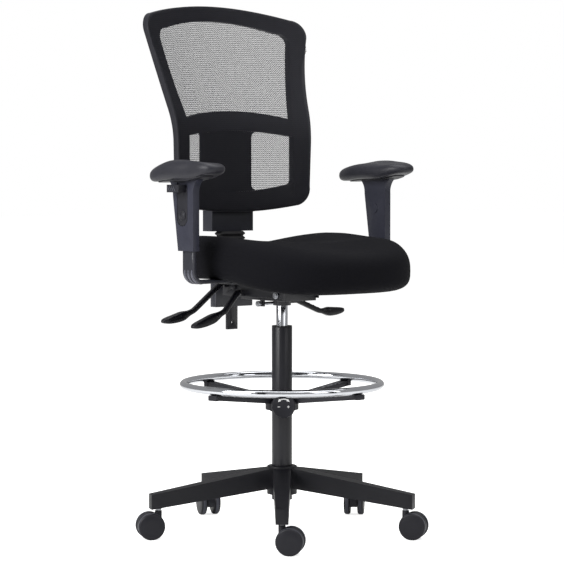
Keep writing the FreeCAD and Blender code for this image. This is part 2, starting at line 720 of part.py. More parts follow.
def lever(name, side, y, z, out):
    """A flat steel arm on the pin and the plastic handle over it: a neck, a slope and a paddle."""
    way = "" if side > 0 else "-"
    bend = (f"{name}_lever_bend", f"{name}_lever_bend_drop")
    tip = (f"{name}_lever_tip", f"{name}_lever_tip_drop")
    neck = "14" if name != "gas" else "50"

    def point(along, drop, up="0"):
        return f"{way}({out} + {along})", f"{z} - {drop} + {up}"

    half = "lever_thickness / 2"
    arm = new_body(f"{name}_handle_arm")
    sketch = outline(new_sketch(arm, f"{name}_arm", "XZ_Plane", f"-({y}) - lever_width / 2"),
                     point("10", "0", half),
                     [[point(neck, "0", half)], [point(bend[0], bend[1], half)],
                      [point(bend[0], bend[1], f"-{half}")], [point(neck, "0", f"-{half}")],
                      [point("10", "0", f"-{half}")], [point("10", "0", half)]])
    pad(arm, sketch, "lever_width")
    paddle = new_body(f"{name}_handle_paddle")
    sketch = outline(new_sketch(paddle, f"{name}_paddle", "XZ_Plane", f"-({y}) - paddle_width / 2"),
                     point(bend[0], bend[1], half),
                     [[point(tip[0], tip[1], "2")], [point(tip[0], tip[1], "-2")],
                      [point(bend[0], bend[1], f"-{half}")], [point(bend[0], bend[1], half)]])
    pad(paddle, sketch, "paddle_width")
    steel = new_body(f"{name}_steel_bar")
    sketch = outline(new_sketch(steel, f"{name}_steel", "XZ_Plane", f"-({y}) - 3"),
                     point("0", "0", "2"),
                     [[point(neck, "0", "2")], [point(bend[0], bend[1], "2")],
                      [point(bend[0], bend[1], "-2")], [point(neck, "0", "-2")],
                      [point("0", "0", "-2")], [point("0", "0", "2")]])
    pad(steel, sketch, "6")
    eye = rod(f"{name}_eye", "6", "9.4", (f"{way}({out})", f"{y} - 4.7", z), Y_WAY)
    hole = rod(f"{name}_eye_hole", "3 + running_gap", "20",
               (f"{way}({out})", f"{y} - 10", z), Y_WAY)
    bar = cut(f"{name}_lever_bar", fuse(f"{name}_bar_solid", [steel, eye]), [hole])
    cut(f"{name}_lever_handle", fuse(f"{name}_handle_solid", [arm, paddle]), [bar])


# ---------------------------------------------------------------- seat

def seat():
    """A plywood board and the cushion over it, whose front drops in a waterfall."""
    board_side = "(cushion_half_width - board_inset)"
    body = new_body("board_blank")
    sketch = rectangle(new_sketch(body, "board_outline", "XY_Plane", BOARD_FLOOR),
                       (f"-{board_side}", "-cushion_front + 100"),
                       (board_side, "cushion_rear - board_inset"))
    rounded(body, "board_corners", pad(body, sketch, "board_thickness"), runs_along(2), "60")
    holes = [rod(f"board_screw_hole_{index}", "screw_radius + 0.05", "10", (x, y, f"{BOARD_FLOOR} - 1"))
             for index, (x, y) in enumerate(PLATE_SCREWS)]
    cut("seat_board", body, holes)

    body = new_body("seat_cushion")
    low = f"({BOARD_FLOOR} - cushion_drop)"
    wide, front, rear = "cushion_half_width", "cushion_front", "cushion_rear"
    corner = "0.29289"
    sketch = outline(
        new_sketch(body, "cushion_outline", "XY_Plane", low),
        (f"-{wide}", f"{rear} - 110"),
        [[(f"-{wide} + 110 * {corner}", f"{rear} - 110 * {corner}"), (f"-{wide} + 110", rear)],
         [(f"{wide} - 110", rear)],
         [(f"{wide} - 110 * {corner}", f"{rear} - 110 * {corner}"), (wide, f"{rear} - 110")],
         [(wide, f"-{front} + 170")],
         [(f"{wide} - 170 * {corner}", f"-{front} + 170 * {corner}"),
          (f"{wide} - 170", f"-{front}")],
         [(f"-{wide} + 170", f"-{front}")],
         [(f"-{wide} + 170 * {corner}", f"-{front} + 170 * {corner}"),
          (f"-{wide}", f"-{front} + 170")],
         [(f"-{wide}", f"{rear} - 110")]])
    block = pad(body, sketch, "cushion_height + cushion_drop")
    under = outline(new_sketch(body, "cushion_underside", "YZ_Plane", "-cushion_half_width - 5"),
                    (f"-{front} + 75", f"{low} - 5"),
                    [[(f"-{front} + 75", low)], [(f"-{front} + 215", BOARD_FLOOR)],
                     [(f"{rear} + 5", BOARD_FLOOR)], [(f"{rear} + 5", f"{low} - 5")],
                     [(f"-{front} + 75", f"{low} - 5")]])
    shaped = hollow(body, under, "2 * cushion_half_width + 10", turned=True)
    top = f"{BOARD_FLOOR} + cushion_height"
    crown = rounded(body, "cushion_crown", shaped, all_edges_near(2, value(top)), "34")
    hem = rounded(body, "cushion_hem", crown, all_edges_near(2, value(BOARD_FLOOR)), "12")
    recess = rectangle(new_sketch(body, "board_recess", "XY_Plane", BOARD_FLOOR),
                       (f"-{board_side} - 0.5", "-cushion_front + 99.5"),
                       (f"{board_side} + 0.5", "cushion_rear - board_inset + 0.5"))
    hollow(body, recess, "board_thickness + 0.5", turned=True)


# ---------------------------------------------------------------- back

def back_bar():
    """The bracket that reclines, the bar that slides in it and the carrier on the bar."""
    front = "(bar_y - bracket_depth / 2)"
    block = box("bracket_block", ("2 * bracket_half_width", "bracket_depth", "bracket_height"),
                ("-bracket_half_width", front, BRACKET_FLOOR))
    lugs = []
    for index, x in enumerate(("-32", "18")):
        lugs.append(box(f"bracket_lug_{index}", ("14", f"{front} - recline_axis_y + 2", "24"),
                        (x, "recline_axis_y", f"{RECLINE_Z} - 12")))
        lugs.append(rod(f"bracket_eye_{index}", "12", "14", (x, "recline_axis_y", RECLINE_Z),
                        X_WAY))
    slot = box("bracket_slot", ("2 * bar_half_width + 0.6", "bar_thickness + 0.6", "400"),
               ("-bar_half_width - 0.3", "bar_y - bar_thickness / 2 - 0.3",
                f"{BRACKET_FLOOR} - 100"))
    hole = rod("bracket_hole", "pivot_radius + running_gap", "200",
               ("-100", "recline_axis_y", RECLINE_Z), X_WAY)
    cut("recline_bracket", fuse("bracket_solid", [block] + lugs), [slot, hole])

    bar_top = f"({CARRIER_FLOOR} + carrier_height - 6)"
    bar = box("bar_blank", ("2 * bar_half_width", "bar_thickness", "bar_length"),
              ("-bar_half_width", "bar_y - bar_thickness / 2", f"{bar_top} - bar_length"))
    stop_hole = rod("bar_stop_hole", "3.5", "40",
                    ("0", "bar_y - 20", f"{bar_top} - bar_length + 18"), Y_WAY)
    bar = cut("back_height_bar", bar, [stop_hole])

    body = new_body("carrier_block")
    shape = rectangle(new_sketch(body, "carrier_outline", "XY_Plane", CARRIER_FLOOR),
                      ("-carrier_half_width", "bar_y - 5.5"),
                      ("carrier_half_width", "bar_y - 5.5 + carrier_depth"))
    rounded(body, "carrier_corners", pad(body, shape, "carrier_height"), runs_along(2), "3")
    cut("back_carrier", body, [bar])

    pleats = []
    pitch = f"(({CARRIER_FLOOR} - {BRACKET_TOP} - 1) / 10)"
    for index in range(10):
        low = f"{BRACKET_TOP} + 0.5 + {index} * {pitch}"
        for part, inset, rise, tall in (("fold", "0", "0.25", "0.5"), ("waist", "4", "0", "1")):
            pleats.append(box(f"bellows_{part}_{index}",
                              (f"2 * (bellows_half_width - {inset})", f"bellows_depth - 2 * {inset}",
                               f"{tall} * {pitch}"),
                              (f"-bellows_half_width + {inset}",
                               f"bar_y + 6 - bellows_depth / 2 + {inset}",
                               f"{low} + {rise} * {pitch}")))
    room = box("bellows_room", ("2 * bar_half_width + 30", "bellows_depth - 12", "400"),
               ("-bar_half_width - 15", "bar_y - bellows_depth / 2 + 12", f"{BRACKET_TOP} - 50"))
    cut("bar_bellows", fuse("bellows_solid", pleats), [room])


BEND_START = f"({BACK_FLOOR} + 173)"


def back_path(sketch):
    """The back's side line: upright, then a lean that eases towards the top."""
    first, last = "back_lean_angle", "back_top_angle"
    surface = "back_surface_y"

    def on_bend(angle):
        return (f"{surface} + lumbar_radius * (1 - cos({angle}))",
                f"{BEND_START} + lumbar_radius * sin({angle})")

    def on_crest(angle):
        y, z = on_bend(first)
        return (f"{y} + crest_radius * (cos({angle}) - cos({first}))",
                f"{z} + crest_radius * (sin({first}) - sin({angle}))")

    stretches = [((surface, f"{BACK_FLOOR} - 20"), None, (surface, BEND_START)),
                 ((surface, BEND_START), on_bend(f"{first} / 2"), on_bend(first)),
                 (on_bend(first), on_crest(f"({first} + {last}) / 2"), on_crest(last))]
    for number, (start, through, end) in enumerate(stretches):
        ends = [V(value(y), value(z), 0) for y, z in (start, end)]
        if through:
            middle = V(value(through[0]), value(through[1]), 0)
            edge = sketch.addGeometry(Part.Arc(ends[0], middle, ends[1]), False)
            mark = sketch.addGeometry(Part.Point(middle), True)
            pin(sketch, mark, 1, through, f"through_{number}")
            sketch.addConstraint(Sketcher.Constraint("PointOnObject", mark, 1, edge))
        else:
            edge = sketch.addGeometry(Part.LineSegment(*ends), False)
        first_end = 1 if (sketch.getPoint(edge, 1) - ends[0]).Length < 1e-6 else 2
        pin(sketch, edge, first_end, start, f"from_{number}")
        pin(sketch, edge, 3 - first_end, end, f"to_{number}")
    return sketch


def curved_slab(name, front, thickness):
    """A sheet that is hollow from side to side and follows the back's side line."""
    body = new_body(name)
    radius = "back_hollow_radius"
    wide = "(back_top_half_width + 15)"

    def on_arc(x, depth):
        return x, (f"back_surface_y - {radius} + sqrt(({radius} + {depth}) * ({radius} + {depth})"
                   f" - ({x}) * ({x}))")

    rear = f"({front} + {thickness})"
    profile = outline(new_sketch(body, name + "_profile", "XY_Plane", f"{BACK_FLOOR} - 20"),
                      on_arc(f"-{wide}", front),
                      [[on_arc("0", front), on_arc(wide, front)],
                       [on_arc(wide, rear)],
                       [on_arc("0", rear), on_arc(f"-{wide}", rear)],
                       [on_arc(f"-{wide}", front)]])
    spine = back_path(new_sketch(body, name + "_path", "YZ_Plane"))
    sweep = body.newObject("PartDesign::AdditivePipe", name + "_sweep")
    sweep.Profile = profile
    sweep.Spine = (spine, [""])
    DOC.recompute()
    return body


def prism(name, start, steps):
    """An outline seen from the front, carried right through the back."""
    body = new_body(name)
    pad(body, outline(new_sketch(body, name + "_outline", "XZ_Plane", "-400"), start, steps), "400")
    return body


def back_outline(name, inset):
    """The back's outer edge, moved in by an inset."""
    wide, waist = f"(back_top_half_width - {inset})", f"(back_waist_half_width - {inset})"
    top, floor = f"({BACK_TOP} - {inset})", f"({BACK_FLOOR} + {inset})"
    right = [[("0", top), (f"{wide} - 36", f"{top} - 27")],
             [(f"{wide} - 7", f"{top} - 43"), (wide, f"{top} - 72")],
             [(f"({wide} + {waist}) / 2 - 6", f"{top} - 190"), (waist, f"{top} - 322")],
             [(f"{waist} - 4", f"{floor} + 64")],
             [(f"{waist} - 10", f"{floor} + 35"), (f"{waist} - 34", f"{floor} + 16")]]
    left = [[("0", floor), (f"-{waist} + 34", f"{floor} + 16")],
            [(f"-{waist} + 10", f"{floor} + 35"), (f"-{waist} + 4", f"{floor} + 64")],
            [(f"-{waist}", f"{top} - 322")],
            [(f"-({wide} + {waist}) / 2 + 6", f"{top} - 190"), (f"-{wide}", f"{top} - 72")],
            [(f"-{wide} + 7", f"{top} - 43"), (f"-{wide} + 36", f"{top} - 27")]]
    return prism(name, (f"-{wide} + 36", f"{top} - 27"), right + left)


def back_windows():
    """The opening above the middle band and the one below it."""
    wide, low = "(back_top_half_width - back_rim - 2)", "(back_waist_half_width - back_rim)"
    top, sill = f"({BACK_TOP} - 38)", f"({BACK_FLOOR} + 233)"
    upper = prism("upper_window", (f"-{wide} + 28", f"{top} - 25"),
                  [[("0", top), (f"{wide} - 28", f"{top} - 25")],
                   [(f"{wide} - 6", f"{top} - 33"), (wide, f"{top} - 58")],
                   [(low, sill)],
                   [("0", f"{sill} + 20"), (f"-{low}", sill)],
                   [(f"-{wide}", f"{top} - 58")],
                   [(f"-{wide} + 6", f"{top} - 33"), (f"-{wide} + 28", f"{top} - 25")]])
    head, foot = f"({BACK_FLOOR} + 190)", f"({BACK_FLOOR} + 68)"
    side = f"({low} - 3)"
    lower = prism("lower_window", (f"-{side} + 12", foot),
                  [[("0", f"{foot} - 17"), (f"{side} - 12", foot)],
                   [(f"{side} - 3", f"{foot} + 4"), (side, f"{foot} + 14")],
                   [(side, head)],
                   [("0", f"{head} + 14"), (f"-{side}", head)],
                   [(f"-{side}", f"{foot} + 14")],
                   [(f"-{side} + 3", f"{foot} + 4"), (f"-{side} + 12", foot)]])
    return [upper, lower]


def back():
    """A moulded frame with two windows, the mesh over its front and the plate behind it."""
    slab = curved_slab("frame_slab", "0", "back_frame_thickness")
    cut("back_frame", common("frame_blank", slab, back_outline("frame_edge", "0")), back_windows())
    sheet = curved_slab("mesh_slab", "-mesh_thickness - 0.2", "mesh_thickness")
    common("back_mesh", sheet, back_outline("mesh_edge", "2"))

    rear = "(back_surface_y + back_frame_thickness)"
    plate_y = f"({rear} + 26)"
    top = f"({BACK_FLOOR} + 248)"
    floor = f"({CARRIER_FLOOR} + carrier_height)"
    body = new_body("lumbar_panel")
    sketch = rectangle(new_sketch(body, "lumbar_outline", "XZ_Plane", f"-({plate_y} + 6)"),
                       ("-lumbar_half_width", floor), ("lumbar_half_width", top))
    rounded(body, "lumbar_corners", pad(body, sketch, "6"), runs_along(1), "12")
    posts = [rod(f"lumbar_post_{x}_{rise}", "8", f"{plate_y} - {rear} + 1.8 - {gap}",
                 (x, f"{rear} + {gap}", f"{BACK_FLOOR} + {rise}"), Y_WAY)
             for x in ("-60", "60") for rise, gap in ((30, 0.8), (207, 3.8))]
    fuse("lumbar_plate", [body] + posts)


# ---------------------------------------------------------------- arms

def arm(name, side):
    """A bent bar under the seat, a sleeve that slides on it, and a padded rest."""
    way = "" if side > 0 else "-"

    def across(x, length="0"):
        return x if side > 0 else f"-({x}) - ({length})"

    out, inn = "(arm_x + arm_bar_thickness / 2)", "(arm_x - arm_bar_thickness / 2)"
    top_z = f"({BOARD_FLOOR} - 0.4)"
    low_z = f"({top_z} - arm_bar_thickness)"
    bend, start = "arm_bend_radius", "arm_bar_start"
    inner = f"({bend} - arm_bar_thickness)"
    diagonal = "0.70711"
    body = new_body(f"{name}_bar_blank")
    sketch = outline(
        new_sketch(body, f"{name}_bar_line", "XZ_Plane", "-(arm_y) - arm_bar_half_width"),
        (f"{way}({start})", low_z),
        [[(f"{way}({out} - {bend})", low_z)],
         [(f"{way}({out} - {bend} + {bend} * {diagonal})",
           f"{low_z} + {bend} - {bend} * {diagonal}"),
          (f"{way}({out})", f"{low_z} + {bend}")],
         [(f"{way}({out})", f"{low_z} + arm_bar_height")],
         [(f"{way}({inn})", f"{low_z} + arm_bar_height")],
         [(f"{way}({inn})", f"{low_z} + {bend}")],
         [(f"{way}({out} - {bend} + {inner} * {diagonal})",
           f"{low_z} + {bend} - {inner} * {diagonal}"),
          (f"{way}({out} - {bend})", top_z)],
         [(f"{way}({start})", top_z)], [(f"{way}({start})", low_z)]])
    pad(body, sketch, "2 * arm_bar_half_width")
    notches = []
    for index in range(6):
        notch_z = f"{low_z} + arm_bar_height - 12 - {index} * notch_pitch"
        notches.append(rod(f"{name}_notch_{index}", "3", "60",
                           (across("arm_x - 30", "60"), "arm_y", notch_z), X_WAY))
    cut(f"{name}_arm_bar", body, notches)

    guide_low = f"({low_z} - 4)"
    guide = box(f"{name}_guide_block",
                ("guide_length", "2 * arm_bar_half_width + 12", f"{BOARD_FLOOR} - {guide_low}"),
                (across("guide_start", "guide_length"), "arm_y - arm_bar_half_width - 6", guide_low))
    way_through = box(f"{name}_guide_room",
                      ("300", "2 * arm_bar_half_width + 0.6", "arm_bar_thickness + 1.1"),
                      (across("50", "300"), "arm_y - arm_bar_half_width - 0.3", f"{low_z} - 0.3"))
    cut(f"{name}_arm_guide", guide, [way_through])

    body = new_body(f"{name}_sleeve_blank")
    half = "sleeve_thickness / 2"
    rear_low, rear_high, front = "(arm_y + 31)", "(arm_y + 50)", "(arm_y - 26)"
    flare = f"({PAD_FLOOR} - 36)"
    sketch = outline(
        new_sketch(body, f"{name}_sleeve_line", "YZ_Plane", f"{way}arm_x - {half}"),
        (front, SLEEVE_FLOOR),
        [[(rear_low, SLEEVE_FLOOR)], [(rear_high, flare)],
         [(f"{rear_high} + 5", f"{PAD_FLOOR} - 14"), (f"{rear_high} + 18", PAD_FLOOR)],
         [(f"{front} - 16", PAD_FLOOR)],
         [(f"{front} - 4", f"{PAD_FLOOR} - 14"), (front, flare)],
         [(front, SLEEVE_FLOOR)]])
    blank = pad(body, sketch, "sleeve_thickness")
    rounded(body, f"{name}_sleeve_edges", blank,
            all_edges_near(0, value(f"{way}arm_x + {half}")), "2.5")
    room = box(f"{name}_sleeve_room", ("arm_bar_thickness + 0.8", "2 * arm_bar_half_width + 0.8",
                                       "sleeve_height - 8 + 10"),
               (across("arm_x - arm_bar_thickness / 2 - 0.4", "arm_bar_thickness + 0.8"),
                "arm_y - arm_bar_half_width - 0.4", f"{SLEEVE_FLOOR} - 10"))
    face = f"(arm_x + {half})"
    recess = box(f"{name}_recess", ("4", "40", "83"),
                 (across(f"{face} - 4", "4"), "arm_y - 5", f"{PAD_FLOOR} - 90"))
    recess_end = rod(f"{name}_recess_end", "20", "4",
                     (across(f"{face} - 4", "4"), "arm_y + 15", f"{PAD_FLOOR} - 90"), X_WAY)
    cap = rod(f"{name}_inner_cap", "13", "1.6",
              (across(f"arm_x - {half} - 1.5", "1.6"), "arm_y + 15", f"{PAD_FLOOR} - 74"), X_WAY)
    hinge = (across(f"{face} - trigger_thickness - 0.4"), f"{PAD_FLOOR} - 107.5")
    pin_hole = rod(f"{name}_trigger_pin_hole", "trigger_pin_radius + running_gap", "27",
                   (hinge[0], "arm_y + 15 - 13.5", hinge[1]), Y_WAY)
    cut(f"{name}_arm_sleeve", fuse(f"{name}_sleeve_solid", [body, cap]),
        [room, recess, recess_end, pin_hole])

    inside = across(f"{face} - trigger_thickness - 0.4", "trigger_thickness")
    plate = box(f"{name}_trigger_plate", ("trigger_thickness", "2 * trigger_radius", "70"),
                (inside, "arm_y + 15 - trigger_radius", f"{PAD_FLOOR} - 90"))
    end = rod(f"{name}_trigger_end", "trigger_radius", "trigger_thickness",
              (inside, "arm_y + 15", f"{PAD_FLOOR} - 90"), X_WAY)
    tab = box(f"{name}_trigger_tab", ("21", "trigger_tab_length", "18"),
              (across(f"{face} + 0.4", "21"), "arm_y + 2", f"{PAD_FLOOR} - 30"))
    neck = box(f"{name}_trigger_neck", ("2", "28", "14"),
               (across(f"{face} - 1", "2"), "arm_y + 2", f"{PAD_FLOOR} - 28"))
    hinge_pin = rod(f"{name}_trigger_pin", "trigger_pin_radius", "26",
                    (hinge[0], "arm_y + 15 - 13", hinge[1]), Y_WAY)
    fuse(f"{name}_arm_trigger", [plate, end, tab, neck, hinge_pin])

    body = new_body(f"{name}_pad_blank")
    sketch = rectangle(
        new_sketch(body, f"{name}_pad_outline", "XY_Plane", f"{PAD_FLOOR} + pad_plate_thickness"),
        (f"{way}arm_x - {way}4 - pad_width / 2", "arm_y + 14 - pad_length / 2"),
        (f"{way}arm_x - {way}4 + pad_width / 2", "arm_y + 14 + pad_length / 2"))
    base = pad(body, sketch, "pad_height")
    corners = rounded(body, f"{name}_pad_corners", base, runs_along(2), "44")
    rounded(body, f"{name}_pad_crown", corners,
            all_edges_near(2, value(f"{PAD_FLOOR} + pad_plate_thickness + pad_height")), "16")
    named(body, f"{name}_arm_pad")
    box(f"{name}_pad_plate", ("56", "170", "pad_plate_thickness"),
        (across("arm_x - 28", "56"), "arm_y - 65", PAD_FLOOR))


# ---------------------------------------------------------------- build and write

star_base()
castor_stems()
for castor_index in range(LEGS):
    castor(castor_index)
column()
gas_spring()
foot_ring()
ring_clamp()
mechanism_housing()
seat_plate()
lever("recline", -1, "recline_lever_y", LEVER_HEIGHTS["recline"], "lever_pivot_out")
lever("tilt", -1, "tilt_lever_y", LEVER_HEIGHTS["tilt"], "lever_pivot_out")
lever("gas", 1, "gas_lever_y", LEVER_HEIGHTS["gas"], "gas_lever_out")
seat()
back_bar()
back()
arm("left", 1)
arm("right", -1)
DOC.recompute()

CASTORS = [f"castor_{number}_{part}" for number in range(1, LEGS + 1) for part in ("hood", "wheels")]
LEVERS = [f"{name}_lever_{part}" for name in ("recline", "tilt", "gas") for part in ("bar", "handle")]
ARMS = [f"{side}_{part}" for side in ("left", "right")
        for part in ("arm_bar", "arm_guide", "arm_sleeve", "arm_trigger", "arm_pad", "pad_plate")]
NODES = ["star_base", "castor_stems", "column_outer_tube", "column_guide_bush",
         "column_thrust_bearing", "piston_rod", "rod_retaining_clip", "pressure_tube",
         "gas_valve_pin", "ring_split_bush", "ring_spider", "foot_ring", "spoke_end_caps",
         "ring_clamp_knob", "ring_clamp_screw", "mechanism_housing", "tension_bolt", "seat_plate",
         "seat_screws", "tilt_axle", "recline_axle", "seat_board", "seat_cushion",
         "recline_bracket", "back_height_bar", "back_carrier", "bar_bellows", "back_frame",
         "back_mesh", "lumbar_plate"] + CASTORS + LEVERS + ARMS

for item in DOC.Objects:
    if "Invalid" in item.State or "Error" in item.State:
        raise RuntimeError(f"{item.Label} did not build")
os.makedirs("parts", exist_ok=True)
for node in NODES:
    shape = DOC.getObjectsByLabel(node)[0].Shape
    if shape.isNull() or not shape.isValid() or not shape.Solids:
        raise RuntimeError(f"{node} is not a sound solid")
    shape.exportStep(f"parts/{node}.step")
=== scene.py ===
import math

import bpy
import numpy as np
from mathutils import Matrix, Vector


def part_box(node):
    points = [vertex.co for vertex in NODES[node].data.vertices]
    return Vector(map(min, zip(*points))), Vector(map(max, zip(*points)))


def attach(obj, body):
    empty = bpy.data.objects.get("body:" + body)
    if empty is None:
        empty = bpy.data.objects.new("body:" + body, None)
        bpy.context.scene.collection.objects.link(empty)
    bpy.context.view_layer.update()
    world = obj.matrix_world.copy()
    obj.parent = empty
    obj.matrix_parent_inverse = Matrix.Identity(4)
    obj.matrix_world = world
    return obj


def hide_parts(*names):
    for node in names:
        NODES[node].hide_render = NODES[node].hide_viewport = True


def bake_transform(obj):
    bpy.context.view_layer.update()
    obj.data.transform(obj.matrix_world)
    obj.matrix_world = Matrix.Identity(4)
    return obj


bl_info = {
    "name": "Drafting Chair",
    "version": (1, 0, 0),
    "blender": (4, 5, 0),
    "location": "3D View > Sidebar > Chair",
    "description": "Gives a drafting chair's frame its upholstery, mouldings and finishes",
    "category": "Object",
}

# Metres, in the frame's own axes: +Z up, the sitter faces -Y, the sitter's left is +X.
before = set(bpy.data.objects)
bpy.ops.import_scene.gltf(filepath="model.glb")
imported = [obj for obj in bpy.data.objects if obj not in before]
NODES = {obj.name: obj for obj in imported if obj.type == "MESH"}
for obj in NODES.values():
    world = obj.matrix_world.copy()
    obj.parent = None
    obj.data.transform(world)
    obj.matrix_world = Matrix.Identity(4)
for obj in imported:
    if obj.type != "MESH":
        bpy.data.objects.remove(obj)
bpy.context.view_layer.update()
MM = 0.001
# A wave texture of scale 1 has twenty radians of its bands to the metre.
WAVE = 2 * math.pi / 20

LEG_ANGLES = [math.radians(13 + 72 * index) for index in range(5)]
CASTOR_TURNS = [math.radians(turn) for turn in (42, 67, 154, 309, 303)]
SIDES = (("left", 1.0), ("right", -1.0))


def linear(code):
    """The linear red, green, blue and alpha of an sRGB hex colour."""
    level = np.array([int(code[k:k + 2], 16) / 255 for k in (1, 3, 5)])
    level = np.where(level <= 0.04045, level / 12.92, ((level + 0.055) / 1.055) ** 2.4)
    return (*level.tolist(), 1.0)


# ------------------------------------------------------------------ sizes and colours to change

class ChairSizes(bpy.types.PropertyGroup):
    cushion_width: bpy.props.FloatProperty(
        name="Cushion width", description="Seat cushion from side to side", default=0.5,
        unit="LENGTH")
    cushion_edge: bpy.props.FloatProperty(
        name="Cushion edge", description="How far in the cushion's rounded edge reaches",
        default=0.052, unit="LENGTH")
    pad_length: bpy.props.FloatProperty(
        name="Arm pad length", description="Arm pad from front to rear", default=0.243,
        unit="LENGTH")
    ring_radius: bpy.props.FloatProperty(
        name="Foot ring radius", description="To the middle of the ring's tube", default=0.242,
        unit="LENGTH")
    ring_tube: bpy.props.FloatProperty(
        name="Foot ring tube radius", description="Radius of the ring's tube", default=0.0095,
        unit="LENGTH")
    wheel_radius: bpy.props.FloatProperty(
        name="Wheel radius", description="Radius of a castor wheel", default=0.0325,
        unit="LENGTH")


class ChairColours(bpy.types.PropertyGroup):
    nylon: bpy.props.FloatVectorProperty(
        name="Nylon", description="Moulded black parts", subtype="COLOR", size=4,
        default=linear("#1a1a20"))
    arms: bpy.props.FloatVectorProperty(
        name="Arms", description="Moulded arm sleeves", subtype="COLOR", size=4,
        default=linear("#292a35"))
    upholstery: bpy.props.FloatVectorProperty(
        name="Upholstery", description="Seat fabric", subtype="COLOR", size=4,
        default=linear("#0b0b0f"))
    knit: bpy.props.FloatVectorProperty(
        name="Knit", description="Back mesh yarn", subtype="COLOR", size=4,
        default=linear("#1d1d24"))


# ------------------------------------------------------------------ materials

def add(tree, kind, settings=None, links=None):
    """One node with its settings, given by attribute or socket name, and its incoming links."""
    item = tree.nodes.new(kind)
    for key, setting in (settings or {}).items():
        if isinstance(key, str) and hasattr(item, key):
            setattr(item, key, setting)
        else:
            item.inputs[key].default_value = setting
    for key, source in (links or {}).items():
        tree.links.new(source, item.inputs[key])
    return item


def start_material(name, sockets):
    """A material with one shader whose even values sit on its own sockets."""
    made = bpy.data.materials.new(name)
    made.use_nodes = True
    shader = made.node_tree.nodes["Principled BSDF"]
    for key, setting in sockets.items():
        shader.inputs[key].default_value = setting
    place = add(made.node_tree, "ShaderNodeTexCoord")
    return made, made.node_tree, shader, place.outputs["Object"]


def mottle(tree, shader, place, colour, change, scale, low, high):
    """Slight cloudiness: noise moves the colour and the roughness between two near values."""
    cloud = add(tree, "ShaderNodeTexNoise", {"Scale": scale, "Detail": 4.0}, {"Vector": place})
    other = tuple(min(1.0, level * change) for level in colour[:3]) + (1.0,)
    mix = add(tree, "ShaderNodeMix", {"data_type": "RGBA", 6: tuple(colour), 7: other},
              {0: cloud.outputs["Fac"]})
    tree.links.new(mix.outputs[2], shader.inputs["Base Color"])
    rough = add(tree, "ShaderNodeMapRange", {"To Min": low, "To Max": high},
                {"Value": cloud.outputs["Fac"]})
    tree.links.new(rough.outputs["Result"], shader.inputs["Roughness"])


def grain(tree, shader, place, size, depth, strength):
    """A fine all-over bump whose grains are about the given size."""
    speckle = add(tree, "ShaderNodeTexNoise", {"Scale": 1 / size, "Detail": 2.0},
                  {"Vector": place})
    bump = add(tree, "ShaderNodeBump", {"Strength": strength, "Distance": depth},
               {"Height": speckle.outputs["Fac"]})
    tree.links.new(bump.outputs["Normal"], shader.inputs["Normal"])


def moulded_nylon(name, colour, low=0.42, high=0.55):
    """Glass-filled nylon, injection moulded in a spark-eroded tool: an even satin grain."""
    made, tree, shader, place = start_material(name, {"IOR": 1.53, "Specular IOR Level": 0.28})
    mottle(tree, shader, place, colour, 1.35, 35.0, low, high)
    # The real grain is about 0.4 mm; it is drawn at 1.2 mm so that it shows.
    grain(tree, shader, place, 1.2 * MM, 0.12 * MM, 0.35)
    return made


def powder_coat(name, colour):
    """Polyester powder coat on steel, baked: a slight orange peel and a soft shine."""
    made, tree, shader, place = start_material(name, {"IOR": 1.5, "Specular IOR Level": 0.45})
    mottle(tree, shader, place, colour, 1.25, 20.0, 0.3, 0.4)
    grain(tree, shader, place, 2.5 * MM, 0.1 * MM, 0.25)
    return made


def chrome_plate():
    """Bright nickel and chromium on polished tube: a mirror with very faint polishing haze."""
    made, tree, shader, place = start_material("chromed_polished_steel", {"Metallic": 1.0})
    mottle(tree, shader, place, linear("#d5d7dc"), 1.06, 25.0, 0.06, 0.12)
    return made


def zinc_steel():
    """Turned steel with a bright zinc plate: faint rings and a cool grey."""
    made, tree, shader, place = start_material("zinc_plated_steel", {"Metallic": 1.0})
    mottle(tree, shader, place, linear("#a9abb0"), 1.15, 90.0, 0.25, 0.38)
    grain(tree, shader, place, 0.8 * MM, 0.03 * MM, 0.3)
    return made


def woven_upholstery(colour):
    """Black crepe-weave polyester: dull, with yarns 1.6 mm apart here so that they show."""
    made, tree, shader, place = start_material(
        "crepe_weave_polyester", {"Specular IOR Level": 0.1})
    mottle(tree, shader, place, colour, 1.5, 60.0, 0.78, 0.92)
    yarn = 1.6 * MM
    ways = [add(tree, "ShaderNodeTexWave",
                {"wave_type": "BANDS", "bands_direction": way, "Scale": WAVE / yarn,
                 "Distortion": 1.5, "Detail": 1.0}, {"Vector": place})
            for way in ("X", "Y", "Z")]
    first = add(tree, "ShaderNodeMath", {"operation": "ADD"},
                {0: ways[0].outputs["Fac"], 1: ways[1].outputs["Fac"]})
    both = add(tree, "ShaderNodeMath", {"operation": "ADD"},
               {0: first.outputs[0], 1: ways[2].outputs["Fac"]})
    bump = add(tree, "ShaderNodeBump", {"Strength": 0.35, "Distance": 0.2 * MM},
               {"Height": both.outputs[0]})
    tree.links.new(bump.outputs["Normal"], shader.inputs["Normal"])
    return made


